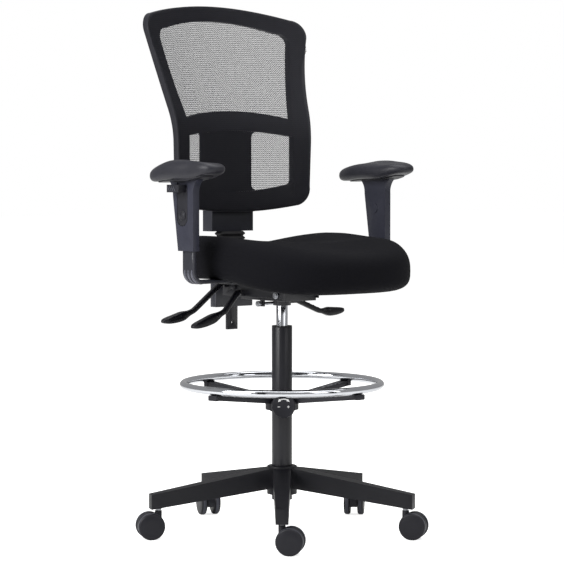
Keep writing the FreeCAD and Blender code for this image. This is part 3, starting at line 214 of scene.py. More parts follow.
def knitted_mesh(colour):
    """Warp-knitted polyester net: rows of zigzag yarn with small gaps that let light through.
    Rows are 5 mm apart, about twice the real pitch, so that they show."""
    made, tree, shader, place = start_material(
        "warp_knitted_net", {"Specular IOR Level": 0.25, "Roughness": 0.7})
    shader.inputs["Base Color"].default_value = tuple(colour)
    axes = add(tree, "ShaderNodeSeparateXYZ", None, {"Vector": place})
    pitch, spacing, zigzag = 5 * MM, 2.3 * MM, 3.1 * MM
    row_share, column_share = 0.13, 0.12

    def math_node(operation, first, second):
        """One sum whose inputs are sockets or numbers."""
        settings, links = {"operation": operation}, {}
        for slot, source in enumerate((first, second)):
            (links if hasattr(source, "is_linked") else settings)[slot] = source
        return add(tree, "ShaderNodeMath", settings, links).outputs[0]

    sway = math_node("PINGPONG", axes.outputs["X"], zigzag)
    height = math_node("ADD", axes.outputs["Z"], sway)
    row = math_node("PINGPONG", height, pitch / 2)
    column = math_node("PINGPONG", axes.outputs["X"], spacing / 2)
    in_row = math_node("LESS_THAN", row, pitch * row_share)
    in_column = math_node("LESS_THAN", column, spacing * column_share)
    yarn = math_node("MAXIMUM", in_row, in_column)
    tree.links.new(yarn, shader.inputs["Alpha"])
    return made


def polyurethane():
    """Self-skinned polyurethane foam: a soft black skin with a leathery sheen."""
    made, tree, shader, place = start_material(
        "self_skinned_polyurethane", {"IOR": 1.45, "Specular IOR Level": 0.32,
                                      "Coat Weight": 0.05, "Coat Roughness": 0.3})
    mottle(tree, shader, place, linear("#24242a"), 1.3, 45.0, 0.36, 0.5)
    grain(tree, shader, place, 1.6 * MM, 0.1 * MM, 0.3)
    return made


def soft_rubber():
    """Moulded black rubber: dull, with a slight bloom."""
    made, tree, shader, place = start_material("moulded_rubber", {"Specular IOR Level": 0.35})
    mottle(tree, shader, place, linear("#151517"), 1.5, 80.0, 0.55, 0.7)
    grain(tree, shader, place, 1.0 * MM, 0.08 * MM, 0.3)
    return made


def plywood():
    """Rotary-cut beech plywood: pale, with thin dark layers at its edges."""
    made, tree, shader, place = start_material("beech_plywood", {"Roughness": 0.6})
    layer = 1.4 * MM
    layers = add(tree, "ShaderNodeTexWave",
                 {"bands_direction": "Z", "Scale": WAVE / layer, "Distortion": 0.6},
                 {"Vector": place})
    shades = add(tree, "ShaderNodeMix", {"data_type": "RGBA", 6: linear("#c79f6c"),
                                         7: linear("#8d6539")}, {0: layers.outputs["Fac"]})
    tree.links.new(shades.outputs[2], shader.inputs["Base Color"])
    return made


def pad_print():
    """White pad-printing ink on the knob: flat and slightly worn."""
    made, tree, shader, place = start_material("white_pad_print", {"Specular IOR Level": 0.4})
    mottle(tree, shader, place, linear("#dcdcdc"), 0.9, 300.0, 0.5, 0.65)
    return made


MATERIALS = {}


def make_materials(colours):
    """Every finish of the chair, once."""
    MATERIALS.update({
        "nylon": moulded_nylon("glass_filled_nylon", colours.nylon),
        "arms": moulded_nylon("textured_polypropylene", colours.arms, 0.38, 0.5),
        "base": moulded_nylon("ribbed_base_nylon", linear("#101015"), 0.4, 0.5),
        # The carrier's nylon is lighter than the other nylon: painted light for its side, which
        # faces the key light.
        "carrier": moulded_nylon("carrier_nylon_painted_light", linear("#23242b")),
        "lever": moulded_nylon("polished_nylon", linear("#0f0f14"), 0.22, 0.32),
        "wheels": moulded_nylon("cast_nylon", linear("#15151b"), 0.35, 0.45),
        "tread": moulded_nylon("polyurethane_tread", linear("#3b3c44"), 0.4, 0.5),
        "paint": powder_coat("black_powder_coat", linear("#15151b")),
        "bar_paint": powder_coat("graphite_powder_coat", linear("#24252c")),
        # A paler graphite than the bar's own coat, used on the swaged ribs.
        "swage": powder_coat("pale_graphite_coat", linear("#4a4b55")),
        "chrome": chrome_plate(),
        "zinc": zinc_steel(),
        "upholstery": woven_upholstery(colours.upholstery),
        "net": knitted_mesh(colours.knit),
        "pads": polyurethane(),
        "rubber": soft_rubber(),
        "plywood": plywood(),
        "print": pad_print(),
    })


# ------------------------------------------------------------------ surfaces

def skin(points, wrap_rows=False, wrap_columns=True, capped=True):
    """Vertices and faces over a grid of points. A way that wraps joins its last line to its first;
    open rows are closed at both ends by a fan about the row's middle."""
    rows, columns = points.shape[:2]
    index = np.arange(rows * columns).reshape(rows, columns)
    if wrap_columns:
        index = np.concatenate([index, index[:, :1]], axis=1)
    if wrap_rows:
        index = np.concatenate([index, index[:1]], axis=0)
    quads = np.stack([index[:-1, :-1], index[1:, :-1], index[1:, 1:], index[:-1, 1:]], axis=-1)
    faces = quads.reshape(-1, 4).tolist()
    vertices = points.reshape(-1, 3)
    if capped and wrap_columns and not wrap_rows:
        hubs = np.stack([points[0].mean(axis=0), points[-1].mean(axis=0)])
        vertices = np.concatenate([vertices, hubs])
        first, last = len(vertices) - 2, len(vertices) - 1
        count = index.shape[1] - 1
        low = np.stack([np.full(count, first), index[0, :-1], index[0, 1:]], axis=-1)
        high = np.stack([np.full(count, last), index[-1, 1:], index[-1, :-1]], axis=-1)
        faces += low.tolist() + high.tolist()
    return outward(vertices, faces)


def outward(vertices, faces):
    """Turn the faces over if they enclose a negative volume."""
    first = np.array([vertices[face[0]] for face in faces])
    second = np.array([vertices[face[1]] for face in faces])
    third = np.array([vertices[face[2]] for face in faces])
    if np.einsum("ij,ij->i", first, np.cross(second, third)).sum() < 0:
        faces = [face[::-1] for face in faces]
    return vertices, faces


def add_piece(name, skins, material, body, stands_for=()):
    """One object of one or more skins, riding on a body of the frame."""
    vertices, faces, start = [], [], 0
    for points, part in skins:
        vertices.append(points)
        faces += [[corner + start for corner in face] for face in part]
        start += len(points)
    mesh = bpy.data.meshes.new(name)
    mesh.from_pydata(np.concatenate(vertices).tolist(), [], faces)
    mesh.polygons.foreach_set("use_smooth", np.ones(len(faces), dtype=bool))
    mesh.materials.append(MATERIALS[material])
    mesh.update()
    piece = bpy.data.objects.new(name, mesh)
    bpy.context.scene.collection.objects.link(piece)
    if body:
        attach(piece, body)
    if stands_for:
        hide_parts(*stands_for)
    return piece


def softened(piece, width, segments=3, angle=35.0):
    """Join loose corners and round the edges that turn sharply."""
    weld = piece.modifiers.new("weld", "WELD")
    weld.merge_threshold = 0.01 * MM
    bevel = piece.modifiers.new("bevel", "BEVEL")
    bevel.width = width
    bevel.segments = segments
    bevel.limit_method = "ANGLE"
    bevel.angle_limit = math.radians(angle)
    bevel.harden_normals = True
    bevel.use_clamp_overlap = True
    return piece


def power(angle, share):
    """Cosine and sine, each raised to a power with its sign kept: a superellipse."""
    cosine, sine = np.cos(angle), np.sin(angle)
    return (np.sign(cosine) * np.abs(cosine) ** share, np.sign(sine) * np.abs(sine) ** share)


def full_turn(steps):
    """Even angles once round, the first not repeated."""
    return np.linspace(0, 2 * np.pi, steps, endpoint=False)


def smooth_step(level):
    """0 below 0, 1 above 1 and an even S between."""
    level = np.clip(level, 0, 1)
    return level * level * (3 - 2 * level)


def hump(level, middle, width):
    """A bell of height 1 about a middle."""
    return np.exp(-((level - middle) / width) ** 2)


def revolve(profile, steps, centre, axis):
    """A profile of (radius, distance along the axis) turned about an axis through a centre: each
    point is centre + distance * axis + radius * (cosine * side + sine * other side)."""
    axis = np.array(axis, float) / np.linalg.norm(axis)
    side = np.cross(axis, (0, 0, 1.0) if abs(axis[2]) < 0.9 else (1.0, 0, 0))
    side /= np.linalg.norm(side)
    other = np.cross(axis, side)
    turn = full_turn(steps)
    profile = np.array(profile, float)
    ring = np.cos(turn)[:, None] * side + np.sin(turn)[:, None] * other
    return (np.array(centre, float) + profile[:, 1, None, None] * axis
            + profile[:, 0, None, None] * ring)


def sweep(path, across, widths, heights, steps=24, share=0.5):
    """A superellipse section carried along a path: its width lies along a fixed direction and its
    height along the cross product of that direction and the path's own."""
    path = np.array(path, float)
    along = np.gradient(path, axis=0)
    along /= np.linalg.norm(along, axis=1, keepdims=True)
    across = np.array(across, float)
    up = np.cross(along, across)
    up /= np.linalg.norm(up, axis=1, keepdims=True)
    wide, tall = power(full_turn(steps), share)
    return (path[:, None] + np.asarray(widths)[:, None, None] * wide[None, :, None] * across
            + np.asarray(heights)[:, None, None] * tall[None, :, None] * up[:, None])


def pillow(outline_x, outline_y, reach, low, high, share, waist=0.5, rows=(14, 13, 22)):
    """A closed cushion. Rows go from the middle of the underside out to the edge, round it and in
    to the middle of the top. The edge is two quarters of a superellipse, one below the waist and
    one above, each with its own reach inwards and its own share; the height of every point lies
    between two height functions of x and y."""
    span = np.hypot(outline_x, outline_y)
    angle = np.linspace(0, np.pi / 2, rows[1] + 1)[:, None]
    quarters = [power(angle, part) for part in share]
    inner = [1 - part / span for part in reach]
    under = np.linspace(0.06, 1, rows[0], endpoint=False)[:, None] * inner[0]
    over = np.linspace(1, 0.02, rows[2] + 1)[1:, None] * inner[1]
    lower = 1 - (1 - quarters[0][0][::-1]) * (reach[0] / span)
    upper = 1 - (1 - quarters[1][0][1:]) * (reach[1] / span)
    shrink = np.concatenate([under, lower, upper, over])
    level = np.concatenate([np.full((rows[0], 1), -1.0), -quarters[0][1][::-1],
                            quarters[1][1][1:], np.full((rows[2], 1), 1.0)])
    x, y = shrink * outline_x, shrink * outline_y
    bottom, top = low(x, y), high(x, y)
    middle = bottom + waist * (top - bottom)
    return x, y, np.where(level < 0, middle + level * (middle - bottom),
                          middle + level * (top - middle))


# ------------------------------------------------------------------ the pieces

class CHAIR_OT_finishes(bpy.types.Operator):
    """Give every piece of the frame its finish and rounded edges"""
    bl_idname = "chair.finishes"
    bl_label = "Frame finishes"

    def execute(self, context):
        make_materials(context.scene.chair_colours)
        finishes = {
            "base": ("star_base",),
            "carrier": ("back_carrier",),
            "nylon": ("back_frame", "lumbar_plate", "ring_spider", "spoke_end_caps",
                      "ring_clamp_knob", "left_pad_plate", "right_pad_plate",
                      "left_arm_trigger", "right_arm_trigger"),
            "arms": ("left_arm_sleeve", "right_arm_sleeve"),
            "paint": ("column_outer_tube", "mechanism_housing", "seat_plate", "back_height_bar",
                      "left_arm_guide", "right_arm_guide", "recline_lever_bar",
                      "tilt_lever_bar", "gas_lever_bar", "recline_axle"),
            "bar_paint": ("recline_bracket", "left_arm_bar", "right_arm_bar"),
            "chrome": ("foot_ring", "pressure_tube"),
            "zinc": ("castor_stems", "piston_rod", "rod_retaining_clip",
                     "column_thrust_bearing", "tilt_axle", "tension_bolt",
                     "seat_screws", "gas_valve_pin", "ring_clamp_screw"),
            "rubber": ("column_guide_bush", "ring_split_bush", "bar_bellows"),
            "plywood": ("seat_board",),
            "upholstery": ("seat_cushion",),
            "net": ("back_mesh",),
            "pads": ("left_arm_pad", "right_arm_pad"),
        }
        widths = {"star_base": 3.0, "back_carrier": 2.0, "back_frame": 4.0, "lumbar_plate": 2.0,
                  "ring_spider": 2.5, "spoke_end_caps": 2.0, "left_arm_sleeve": 1.6,
                  "right_arm_sleeve": 1.6, "left_arm_bar": 2.0, "right_arm_bar": 2.0,
                  "recline_bracket": 2.0, "mechanism_housing": 1.0, "back_height_bar": 1.0}
        finish_of = {node: name for name, nodes in finishes.items() for node in nodes}
        for name, piece in NODES.items():
            part = name.split("_")[-1]
            finish = finish_of.get(name) or {"hood": "nylon", "wheels": "wheels",
                                             "handle": "nylon"}[part]
            piece.data.materials.clear()
            piece.data.materials.append(MATERIALS[finish])
            faces = len(piece.data.polygons)
            piece.data.polygons.foreach_set("use_smooth", np.ones(faces, dtype=bool))
            softened(piece, widths.get(name, 0.5) * MM)
        return {"FINISHED"}


class CHAIR_OT_cushion(bpy.types.Operator):
    """Build the seat cushion with its side bolsters and waterfall front"""
    bl_idname = "chair.cushion"
    bl_label = "Seat cushion"

    def execute(self, context):
        sizes = context.scene.chair_sizes
        low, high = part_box("seat_cushion")
        middle_y = (low.y + high.y) / 2
        half_x, half_y = sizes.cushion_width / 2, (high.y - low.y) / 2
        turn = full_turn(160)
        blunt_x, blunt_y = power(turn, 0.5)
        round_x, round_y = power(turn, 0.8)
        front = smooth_step(0.5 - np.sin(turn) / 1.2)
        outline_x = half_x * (blunt_x * (1 - front) + round_x * front)
        outline_y = half_y * (blunt_y * (1 - front) + round_y * front)
        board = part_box("seat_board")[0].z
        crown = high.z

        def underside(x, y):
            """Flat under the board, then down in an even S towards the front."""
            return board - 1.0 * MM - 33 * MM * smooth_step((-0.02 - middle_y - y) / 0.24)

        def top(x, y):
            """High along both sides and hollow between them, less so at the front, where the
            whole top falls away; the rear falls a little too."""
            y = y + middle_y
            edge = (crown - 1.0 * MM - 11 * MM * smooth_step((0.03 - y) / 0.2)
                    - 20 * MM * smooth_step((-0.15 - y) / 0.14)
                    - 5 * MM * smooth_step((y - 0.06) / 0.09))
            hollow = 21 * MM * (1 - 0.55 * smooth_step(-y / 0.15))
            ridge = 3.5 * MM * hump(y, -0.14, 0.035) * smooth_step((0.2 - np.abs(x)) / 0.08)
            return edge - hollow * (1 - smooth_step(np.abs(x) / 0.225)) + ridge

        edge = sizes.cushion_edge
        reach = (0.2 * edge + 1.3 * edge * front, 0.8 * edge + 0.4 * edge * front)
        x, y, z = pillow(outline_x, outline_y, reach, underside, top, (0.65, 0.75), 0.45)
        points = np.stack([x, y + middle_y, z], axis=-1)
        cushion = add_piece("seat_cushion_cover", [skin(points)], "upholstery", "seat",
                            ("seat_cushion",))
        return {"FINISHED"}


class CHAIR_OT_net(bpy.types.Operator):
    """Stretch the knitted net over the front of the back frame"""
    bl_idname = "chair.net"
    bl_label = "Back net"

    def execute(self, context):
        low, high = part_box("back_frame")
        floor, head = low.z, high.z
        # Where the net stands at its foot and the radius of its hollow, then the height, radius
        # and long upper radius of its bend.
        surface, hollow = 0.170, 0.690
        bend_start, bend, crest = floor + 0.173, 0.187, 1.230
        lean, ease = math.radians(23), math.radians(9)

        def side_line(steps):
            """Upright, an arc back to the full lean, then a long arc that eases it."""
            rise = np.linspace(floor - 0.02, bend_start, steps)
            first = np.linspace(0, lean, steps)
            last = np.linspace(lean, ease, 2 * steps)
            y = np.concatenate([np.full(steps, surface), surface + bend * (1 - np.cos(first)),
                                surface + bend * (1 - math.cos(lean))
                                + crest * (np.cos(last) - math.cos(lean))])
            z = np.concatenate([rise, bend_start + bend * np.sin(first),
                                bend_start + bend * math.sin(lean)
                                + crest * (math.sin(lean) - np.sin(last))])
            return y, z, np.concatenate([np.zeros(steps), first, last])

        edge_z = floor + np.array([0.0, 0.064, 0.196, 0.264, 0.328, 0.388, 0.446, 0.52])
        edge_x = np.array([0.213, 0.213, 0.2155, 0.220, 0.2265, 0.2375, 0.2545, 0.257]) - 0.004
        rows, columns = 90, 90
        up = np.linspace(0, 1, rows)[:, None]
        out = np.sin(np.linspace(-1, 1, columns) * np.pi / 2)[None, :]
        x = out * np.interp(floor + up * (head - floor), edge_z, edge_x)
        far = np.abs(x)
        corner = np.clip((far - 0.221) / 0.036, 0, 1)
        heads = head - 0.002 - 0.027 * (far / 0.221) ** 2 - 0.040 * (1 - np.sqrt(1 - corner ** 2))
        corner = np.clip((far - 0.183) / 0.030, 0, 1)
        foots = (floor + 0.002 + 0.016 * (far / 0.183) ** 2
                 + 0.040 * (1 - np.sqrt(1 - corner ** 2)))
        z = foots + up * (heads - foots)
        depth = hollow - 0.001 - np.sqrt(hollow ** 2 - x ** 2)
        line_y, line_z, line_lean = side_line(60)
        order = np.concatenate([[True], np.diff(line_z) > 0])
        line_y, line_z, line_lean = line_y[order], line_z[order], line_lean[order]
        lift = z.copy()
        for _ in range(4):
            tilt = np.interp(lift, line_z, line_lean)
            lift = z - (depth + 0.001) * np.sin(tilt)
        tilt = np.interp(lift, line_z, line_lean)
        y = np.interp(lift, line_z, line_y) - (depth + 0.0016) * np.cos(tilt)
        points = np.stack([x, y, z], axis=-1)
        net = add_piece("back_net", [skin(points, wrap_columns=False)], "net", "backrest",
                        ("back_mesh",))
        thick = net.modifiers.new("thickness", "SOLIDIFY")
        thick.thickness = 0.5 * MM
        thick.offset = 0.0
        return {"FINISHED"}


class CHAIR_OT_lumbar(bpy.types.Operator):
    """Build the lumbar plate, which widens where it meets the frame's bands"""
    bl_idname = "chair.lumbar"
    bl_label = "Lumbar plate"

    def execute(self, context):
        low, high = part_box("lumbar_plate")
        height = np.linspace(low.z, high.z, 120)
        flare = 12 * MM
        head, foot = low.z + 0.1905, low.z + 0.046
        rise = np.clip((height - head + flare) / flare, 0, 1)
        fall = np.clip((foot + flare - height) / flare, 0, 1)
        half = high.x + flare * (2 - np.sqrt(1 - rise ** 2) - np.sqrt(1 - fall ** 2))
        crown = np.clip((height - high.z + flare) / flare, 0, 1)
        half = half - flare * (1 - np.sqrt(1 - crown ** 2))
        wide, deep = power(full_turn(64), 0.2)
        x = half[:, None] * wide
        y = np.broadcast_to(high.y - 3 * MM + 3 * MM * deep, x.shape)
        z = np.broadcast_to(height[:, None], x.shape)
        skins = [skin(np.stack([x, y, z], axis=-1))]
        post_radius, spread = 8 * MM, 60 * MM
        for up, gap in ((20 * MM, 0), (197 * MM, 3.2 * MM)):
            post = np.array([(post_radius, low.y + gap), (post_radius, high.y)])
            skins += [skin(revolve(post, 24, (across, 0, low.z + up), (0, 1, 0)))
                      for across in (-spread, spread)]
        add_piece("lumbar_shell", skins, "nylon", "backrest", ("lumbar_plate",))
        return {"FINISHED"}


class CHAIR_OT_arm_pads(bpy.types.Operator):
    """Build the two arm pads"""
    bl_idname = "chair.arm_pads"
    bl_label = "Arm pads"

    def execute(self, context):
        length = context.scene.chair_sizes.pad_length
        for side, way in SIDES:
            low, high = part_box(f"{side}_arm_pad")
            turn = full_turn(96)
            wide, long = power(turn, 0.78)
            half_x, half_y = (high.x - low.x) / 2, length / 2
            outline_x = half_x * wide - 7 * MM * hump(long, -0.45, 0.35) * (wide > 0) * wide
            outline_y = half_y * long
            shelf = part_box(f"{side}_pad_plate")[0].z

            def underside(x, y):
                """Level over the post, up towards the front end and down towards the rear."""
                along = y / half_y
                return (shelf - 0.5 * MM + 15 * MM * smooth_step((-along - 0.2) / 0.8)
                        - 5 * MM * smooth_step((along - 0.2) / 0.6))

            def top(x, y):
                """A crown that is higher outside, and falls at the rear more than the front."""
                out, along = x / half_x, y / half_y
                swell = 9.5 * MM * smooth_step(0.5 + out / 1.6) * hump(along, -0.1, 0.6)
                return (shelf + 38.5 * MM + swell - 13 * MM * smooth_step((along - 0.1) / 0.9)
                        - 1 * MM * smooth_step((-along - 0.5) / 0.5)
                        - 2.5 * MM * hump(along, -0.45, 0.2) * (1 - smooth_step(out)))

            middle_x, middle_y = (low.x + high.x) / 2, (low.y + high.y) / 2
            x, y, z = pillow(outline_x, outline_y, (20 * MM, 26 * MM), underside, top,
                             (0.8, 0.95), 0.47, (8, 9, 12))
            points = np.stack([way * x + middle_x, y + middle_y, z], axis=-1)
            pad = add_piece(f"{side}_arm_pad_skin", [skin(points)], "pads", f"{side}_rest",
                            (f"{side}_arm_pad",))
            flat_x, flat_y = power(turn, 0.5)
            x, y, z = pillow(28 * MM * flat_x, 85 * MM * flat_y, (1.5 * MM, 1.5 * MM),
                             lambda x, y: underside(x, y) - 2.5 * MM,
                             lambda x, y: underside(x, y) + 3 * MM, (0.6, 0.6), 0.5, (6, 5, 6))
            points = np.stack([way * (x + 4 * MM) + middle_x, y + middle_y, z], axis=-1)
            add_piece(f"{side}_pad_carrier", [skin(points)], "nylon", f"{side}_rest",
                      (f"{side}_pad_plate",))
        return {"FINISHED"}


class CHAIR_OT_arm_details(bpy.types.Operator):
    """Add the buttons, grips and swaged ribs of the arms"""
    bl_idname = "chair.arm_details"
    bl_label = "Arm details"

    def execute(self, context):
        trigger_y, trigger_z, trigger_face, tab_face = -0.0105, 0.786, 0.320, 0.3414
        bar_y, bar_face, bend = -0.0255, 0.314, 30 * MM
        for side, way in SIDES:
            button = [(0, -0.5), (9.5, -0.5), (12.2, -0.4), (12.8, -0.1), (12.8, 1.4), (12.2, 2.0),
                      (9.8, 2.2), (9.2, 1.5), (7.6, 1.4), (7.0, 2.0), (0.01, 2.2)]
            profile = np.array(button) * MM
            centre = (way * (trigger_face - 0.6 * MM), trigger_y, trigger_z)
            outer = revolve(profile, 48, centre, (way, 0, 0))
            add_piece(f"{side}_trigger_button", [skin(outer)], "nylon", f"{side}_trigger")
            ribs = []
            tab_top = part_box(f"{side}_arm_trigger")[1].z
            for step in (-13, -6, 1, 8):
                across = np.linspace(0, 1, 9)
                fade = np.sin(np.linspace(0.3, np.pi - 0.3, 9)) * MM
                outside = np.stack([np.full(9, way * (tab_face + 0.3 * MM)),
                                    (step + 9 * across) * MM,
                                    tab_top - (17 - 14 * across) * MM], axis=-1)
                ribs.append(skin(sweep(outside, (0, 0.84, -0.54), 1.3 * fade, 1.2 * fade, 12)))
            # The ribs are drawn in the paler tread grey as a painted highlight along them on the
            # black grip.
            add_piece(f"{side}_trigger_grip", ribs, "tread", f"{side}_trigger")
            bar_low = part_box(f"{side}_arm_bar")[0]
            middle = np.array([way * (bar_face - bend), bar_y, bar_low.z + bend])
            swages = []
            for offset in (-13.0, 0.0, 13.0):
                turn = np.linspace(-0.12, np.pi / 2 + 0.12, 22)
                path = middle + np.stack([way * bend * np.cos(turn), np.full(22, offset * MM),
                                          -bend * np.sin(turn)], axis=-1)
                fade = np.sin(np.linspace(0.1, np.pi - 0.1, 22)) ** 0.5
                swages.append(skin(sweep(path, (0, 1, 0), 4.2 * MM * fade, 2.4 * MM * fade, 14,
                                         0.9)))
            add_piece(f"{side}_bar_swages", swages, "swage", f"{side}_arm")
        return {"FINISHED"}


class CHAIR_OT_bellows(bpy.types.Operator):
    """Build the pleated rubber sleeve round the back bar"""
    bl_idname = "chair.bellows"
    bl_label = "Bellows"

    def execute(self, context):
        low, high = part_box("bar_bellows")
        height = high.z - low.z
        level = np.linspace(0, 1, 141)
        wide, deep = power(full_turn(72), 0.42)
        pleats = 10
        pleat = 0.5 + 0.5 * np.cos(level * 2 * np.pi * pleats - np.pi)
        draw = 4.5 * MM * (1 - pleat ** 0.8)
        half_x, half_y, middle = (high.x - low.x) / 2, (high.y - low.y) / 2, (low.y + high.y) / 2
        x = (half_x - draw)[:, None] * wide
        y = (half_y - draw)[:, None] * deep + middle
        z = np.broadcast_to((low.z + level * height)[:, None], x.shape)
        sleeve = add_piece("bar_bellows_sleeve", [skin(np.stack([x, y, z], axis=-1))], "rubber",
                           None, ("bar_bellows",))
        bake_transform(sleeve)
        return {"FINISHED"}


class CHAIR_OT_levers(bpy.types.Operator):
    """Build the three lever handles with their ribs and paddles"""
    bl_idname = "chair.levers"
    bl_label = "Levers"

    def execute(self, context):
        # Name, side, pivot, then the bend, the tip and the neck's start measured outwards and
        # down from the pivot, in millimetres.
        levers = (("recline", -1, (62, 147, 609), (101, 64), (198, 85), 14),
                  ("tilt", -1, (62, 81, 590), (55, 45), (158, 78), 14),
                  ("gas", 1, (43, 50, 567), (126, 30), (208, 29), 50))
        for name, way, pivot, bend, tip, neck in levers:
            corners = np.array([(10, 0), (neck, 0), bend, tip], float)
            count = 16
            steps = np.linspace(0, 1, count)[:, None]
            legs = [corners[k] + (corners[k + 1] - corners[k]) * steps for k in range(3)]
            line = np.concatenate([legs[0][:-1], legs[1][:-1], legs[2]])
            for _ in range(2):
                line[1:-1] = (line[:-2] + 2 * line[1:-1] + line[2:]) / 4
            along = np.concatenate([np.zeros(2 * count - 1), np.linspace(0, 1, count - 1)])
            swell = smooth_step(along / 0.35)
            close = np.sqrt(np.clip(1 - np.clip((along - 0.8) / 0.2, 0, 1) ** 2, 0.03, 1))
            widths = (6.5 + 6.0 * swell) * close * MM
            heights = (6.4 + 5.4 * swell - 7.4 * along ** 3) * (0.3 + 0.7 * close) * MM
            sag = 3.0 * np.sin(along * np.pi)
            path = np.stack([way * (pivot[0] + line[:, 0]), np.full(len(line), pivot[1]),
                             pivot[2] - line[:, 1] - sag], axis=-1) * MM
            body = sweep(path, (0, 1, 0), widths, heights, 28, 0.55)
            ribs = []
            for at in range(count, 2 * count - 2, 3):
                ridge = path[at:at + 2].mean(axis=0)
                rib = np.stack([np.full(9, ridge[0]), ridge[1] + np.linspace(-6, 6, 9) * MM,
                                np.full(9, ridge[2] + 6.6 * MM)], axis=-1)
                fade = np.sin(np.linspace(0.3, np.pi - 0.3, 9)) * MM
                ribs.append(skin(sweep(rib, (1, 0, 0), 1.4 * fade, 1.0 * fade, 10)))
            add_piece(f"{name}_lever_grip", [skin(body)] + ribs, "lever", f"{name}_lever",
                      (f"{name}_lever_handle",))
        return {"FINISHED"}


class CHAIR_OT_foot_ring(bpy.types.Operator):
    """Build the smooth chromed foot ring"""
    bl_idname = "chair.foot_ring"
    bl_label = "Foot ring"

    def execute(self, context):
        sizes = context.scene.chair_sizes
        low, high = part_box("foot_ring")
        turn, round_tube = full_turn(220)[:, None], full_turn(36)[None, :]
        reach = sizes.ring_radius + sizes.ring_tube * np.cos(round_tube)
        x, y = reach * np.cos(turn), reach * np.sin(turn)
        z = np.broadcast_to(sizes.ring_tube * np.sin(round_tube) + (low.z + high.z) / 2, x.shape)
        points = np.stack([x, y, z], axis=-1)
        add_piece("foot_ring_tube", [skin(points, wrap_rows=True)], "chrome", "ring",
                  ("foot_ring",))
        return {"FINISHED"}


class CHAIR_OT_knob(bpy.types.Operator):
    """Build the clamp knob with its flutes and its plain marks"""
    bl_idname = "chair.knob"
    bl_label = "Clamp knob"

    def execute(self, context):
        heading = math.radians(232.8)
        axis = np.array([math.cos(heading), math.sin(heading), 0.0])
        side = np.cross(axis, (0, 0, 1.0))
        low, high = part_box("ring_clamp_knob")
        centre = np.array([0, 0, (low.z + high.z) / 2])
        profile = np.array([(5.2, 42.0), (10, 42.0), (10, 49.0), (26, 49.2), (29.2, 50.2), (30, 52),
                            (30, 61), (29.2, 63.4), (27.4, 64.6), (25.5, 64.9), (24.6, 64.2),
                            (23.8, 63.9), (0.1, 63.9)]) * MM
        points = revolve(profile, 120, centre, axis)
        turn = full_turn(120)
        reach = profile[:, 0]
        flute = 1 - 0.035 * (reach > 28 * MM)[:, None] * (0.5 + 0.5 * np.cos(turn * 12))[None, :]
        along = (points - centre) @ axis
        spread = points - centre - along[..., None] * axis
        points = centre + along[..., None] * axis + spread * flute[..., None]
        add_piece("ring_clamp_grip", [skin(points)], "nylon", "ring_knob",
                  ("ring_clamp_knob",))

        face = 64.1 * MM

        def on_face(across, rise):
            """Points of the knob's face, from sideways and upward distances in millimetres."""
            return (centre + face * axis - np.asarray(across)[:, None] * MM * side
                    + np.asarray(rise)[:, None] * MM * np.array([0, 0, 1.0]))

        marks = []
        turn = np.linspace(math.radians(35), math.radians(145), 25)
        bow = on_face(17 * np.cos(turn), 17 * np.sin(turn))
        across = np.cross(np.gradient(bow, axis=0), axis)
        across /= np.linalg.norm(across, axis=1, keepdims=True)
        ring = power(full_turn(12), 0.5)
        width = np.full(25, 1.3)
        head = np.linspace(0.1, 3.4, 6)
        width[:6] = head
        width[-6:] = head[::-1]
        marks.append(skin(bow[:, None] + width[:, None, None] * MM * ring[0][None, :, None]
                          * across[:, None] + 0.25 * MM * ring[1][None, :, None] * axis))
        for middle, upright in ((-11.5, False), (11.5, True)):
            bars = [(on_face(np.linspace(middle - 3, middle + 3, 5), np.full(5, -2.0)),
                     (0, 0, 1.0))]
            if upright:
                bars.append((on_face(np.full(5, middle), np.linspace(-5, 1, 5)), side))
            for path, way in bars:
                marks.append(skin(sweep(path, way, np.full(5, 0.8 * MM), np.full(5, 0.25 * MM),
                                        12)))
        add_piece("ring_clamp_marks", marks, "print", "ring_knob")
        return {"FINISHED"}


class CHAIR_OT_wheels(bpy.types.Operator):
    """Build the twin wheels of the five castors"""
    bl_idname = "chair.wheels"
    bl_label = "Castor wheels"

    def execute(self, context):
        radius = context.scene.chair_sizes.wheel_radius
        stem_reach, trail_reach = 0.315, 0.02
        disc = [(0.1, -25.5), (12.0, -25.5), (26.0, -25.5), (27.0, -25.1),
                (28.0, -25.4), (29.6, -25.1), (31.2, -23.9), (32.2, -22.2),
                (32.5, -20.6), (32.5, -13.8), (32.0, -12.2), (30.6, -10.6), (28.8, -9.6),
                (8.0, -9.5), (3.9, -9.5)]
        profile = np.array(disc) * MM * [radius / (32.5 * MM), 1]
        for number, (leg, trail) in enumerate(zip(LEG_ANGLES, CASTOR_TURNS), start=1):
            axle = np.array([-math.sin(trail), math.cos(trail), 0.0])
            centre = np.array([stem_reach * math.cos(leg) + trail_reach * math.cos(trail),
                               stem_reach * math.sin(leg) + trail_reach * math.sin(trail),
                               radius])
            pin = revolve(np.array([(3.95, -12.0), (3.95, 12.0)]) * MM, 24, centre, axle)
            wheels = [skin(revolve(profile, 72, centre, way * axle)) for way in (1, -1)]
            name = f"castor_{number}"
            add_piece(f"{name}_twin_wheels", wheels + [skin(pin)], "wheels", f"{name}_roll",
                      (f"{name}_wheels",))
            band = np.array([(32.3, -21.4), (32.72, -21.0), (32.72, -13.4), (32.3, -13.0),
                             (31.9, -13.0), (31.9, -21.4)]) * MM
            treads = [skin(revolve(band, 72, centre, way * axle), wrap_rows=True)
                      for way in (1, -1)]
            add_piece(f"{name}_treads", treads, "tread", f"{name}_roll")
        return {"FINISHED"}


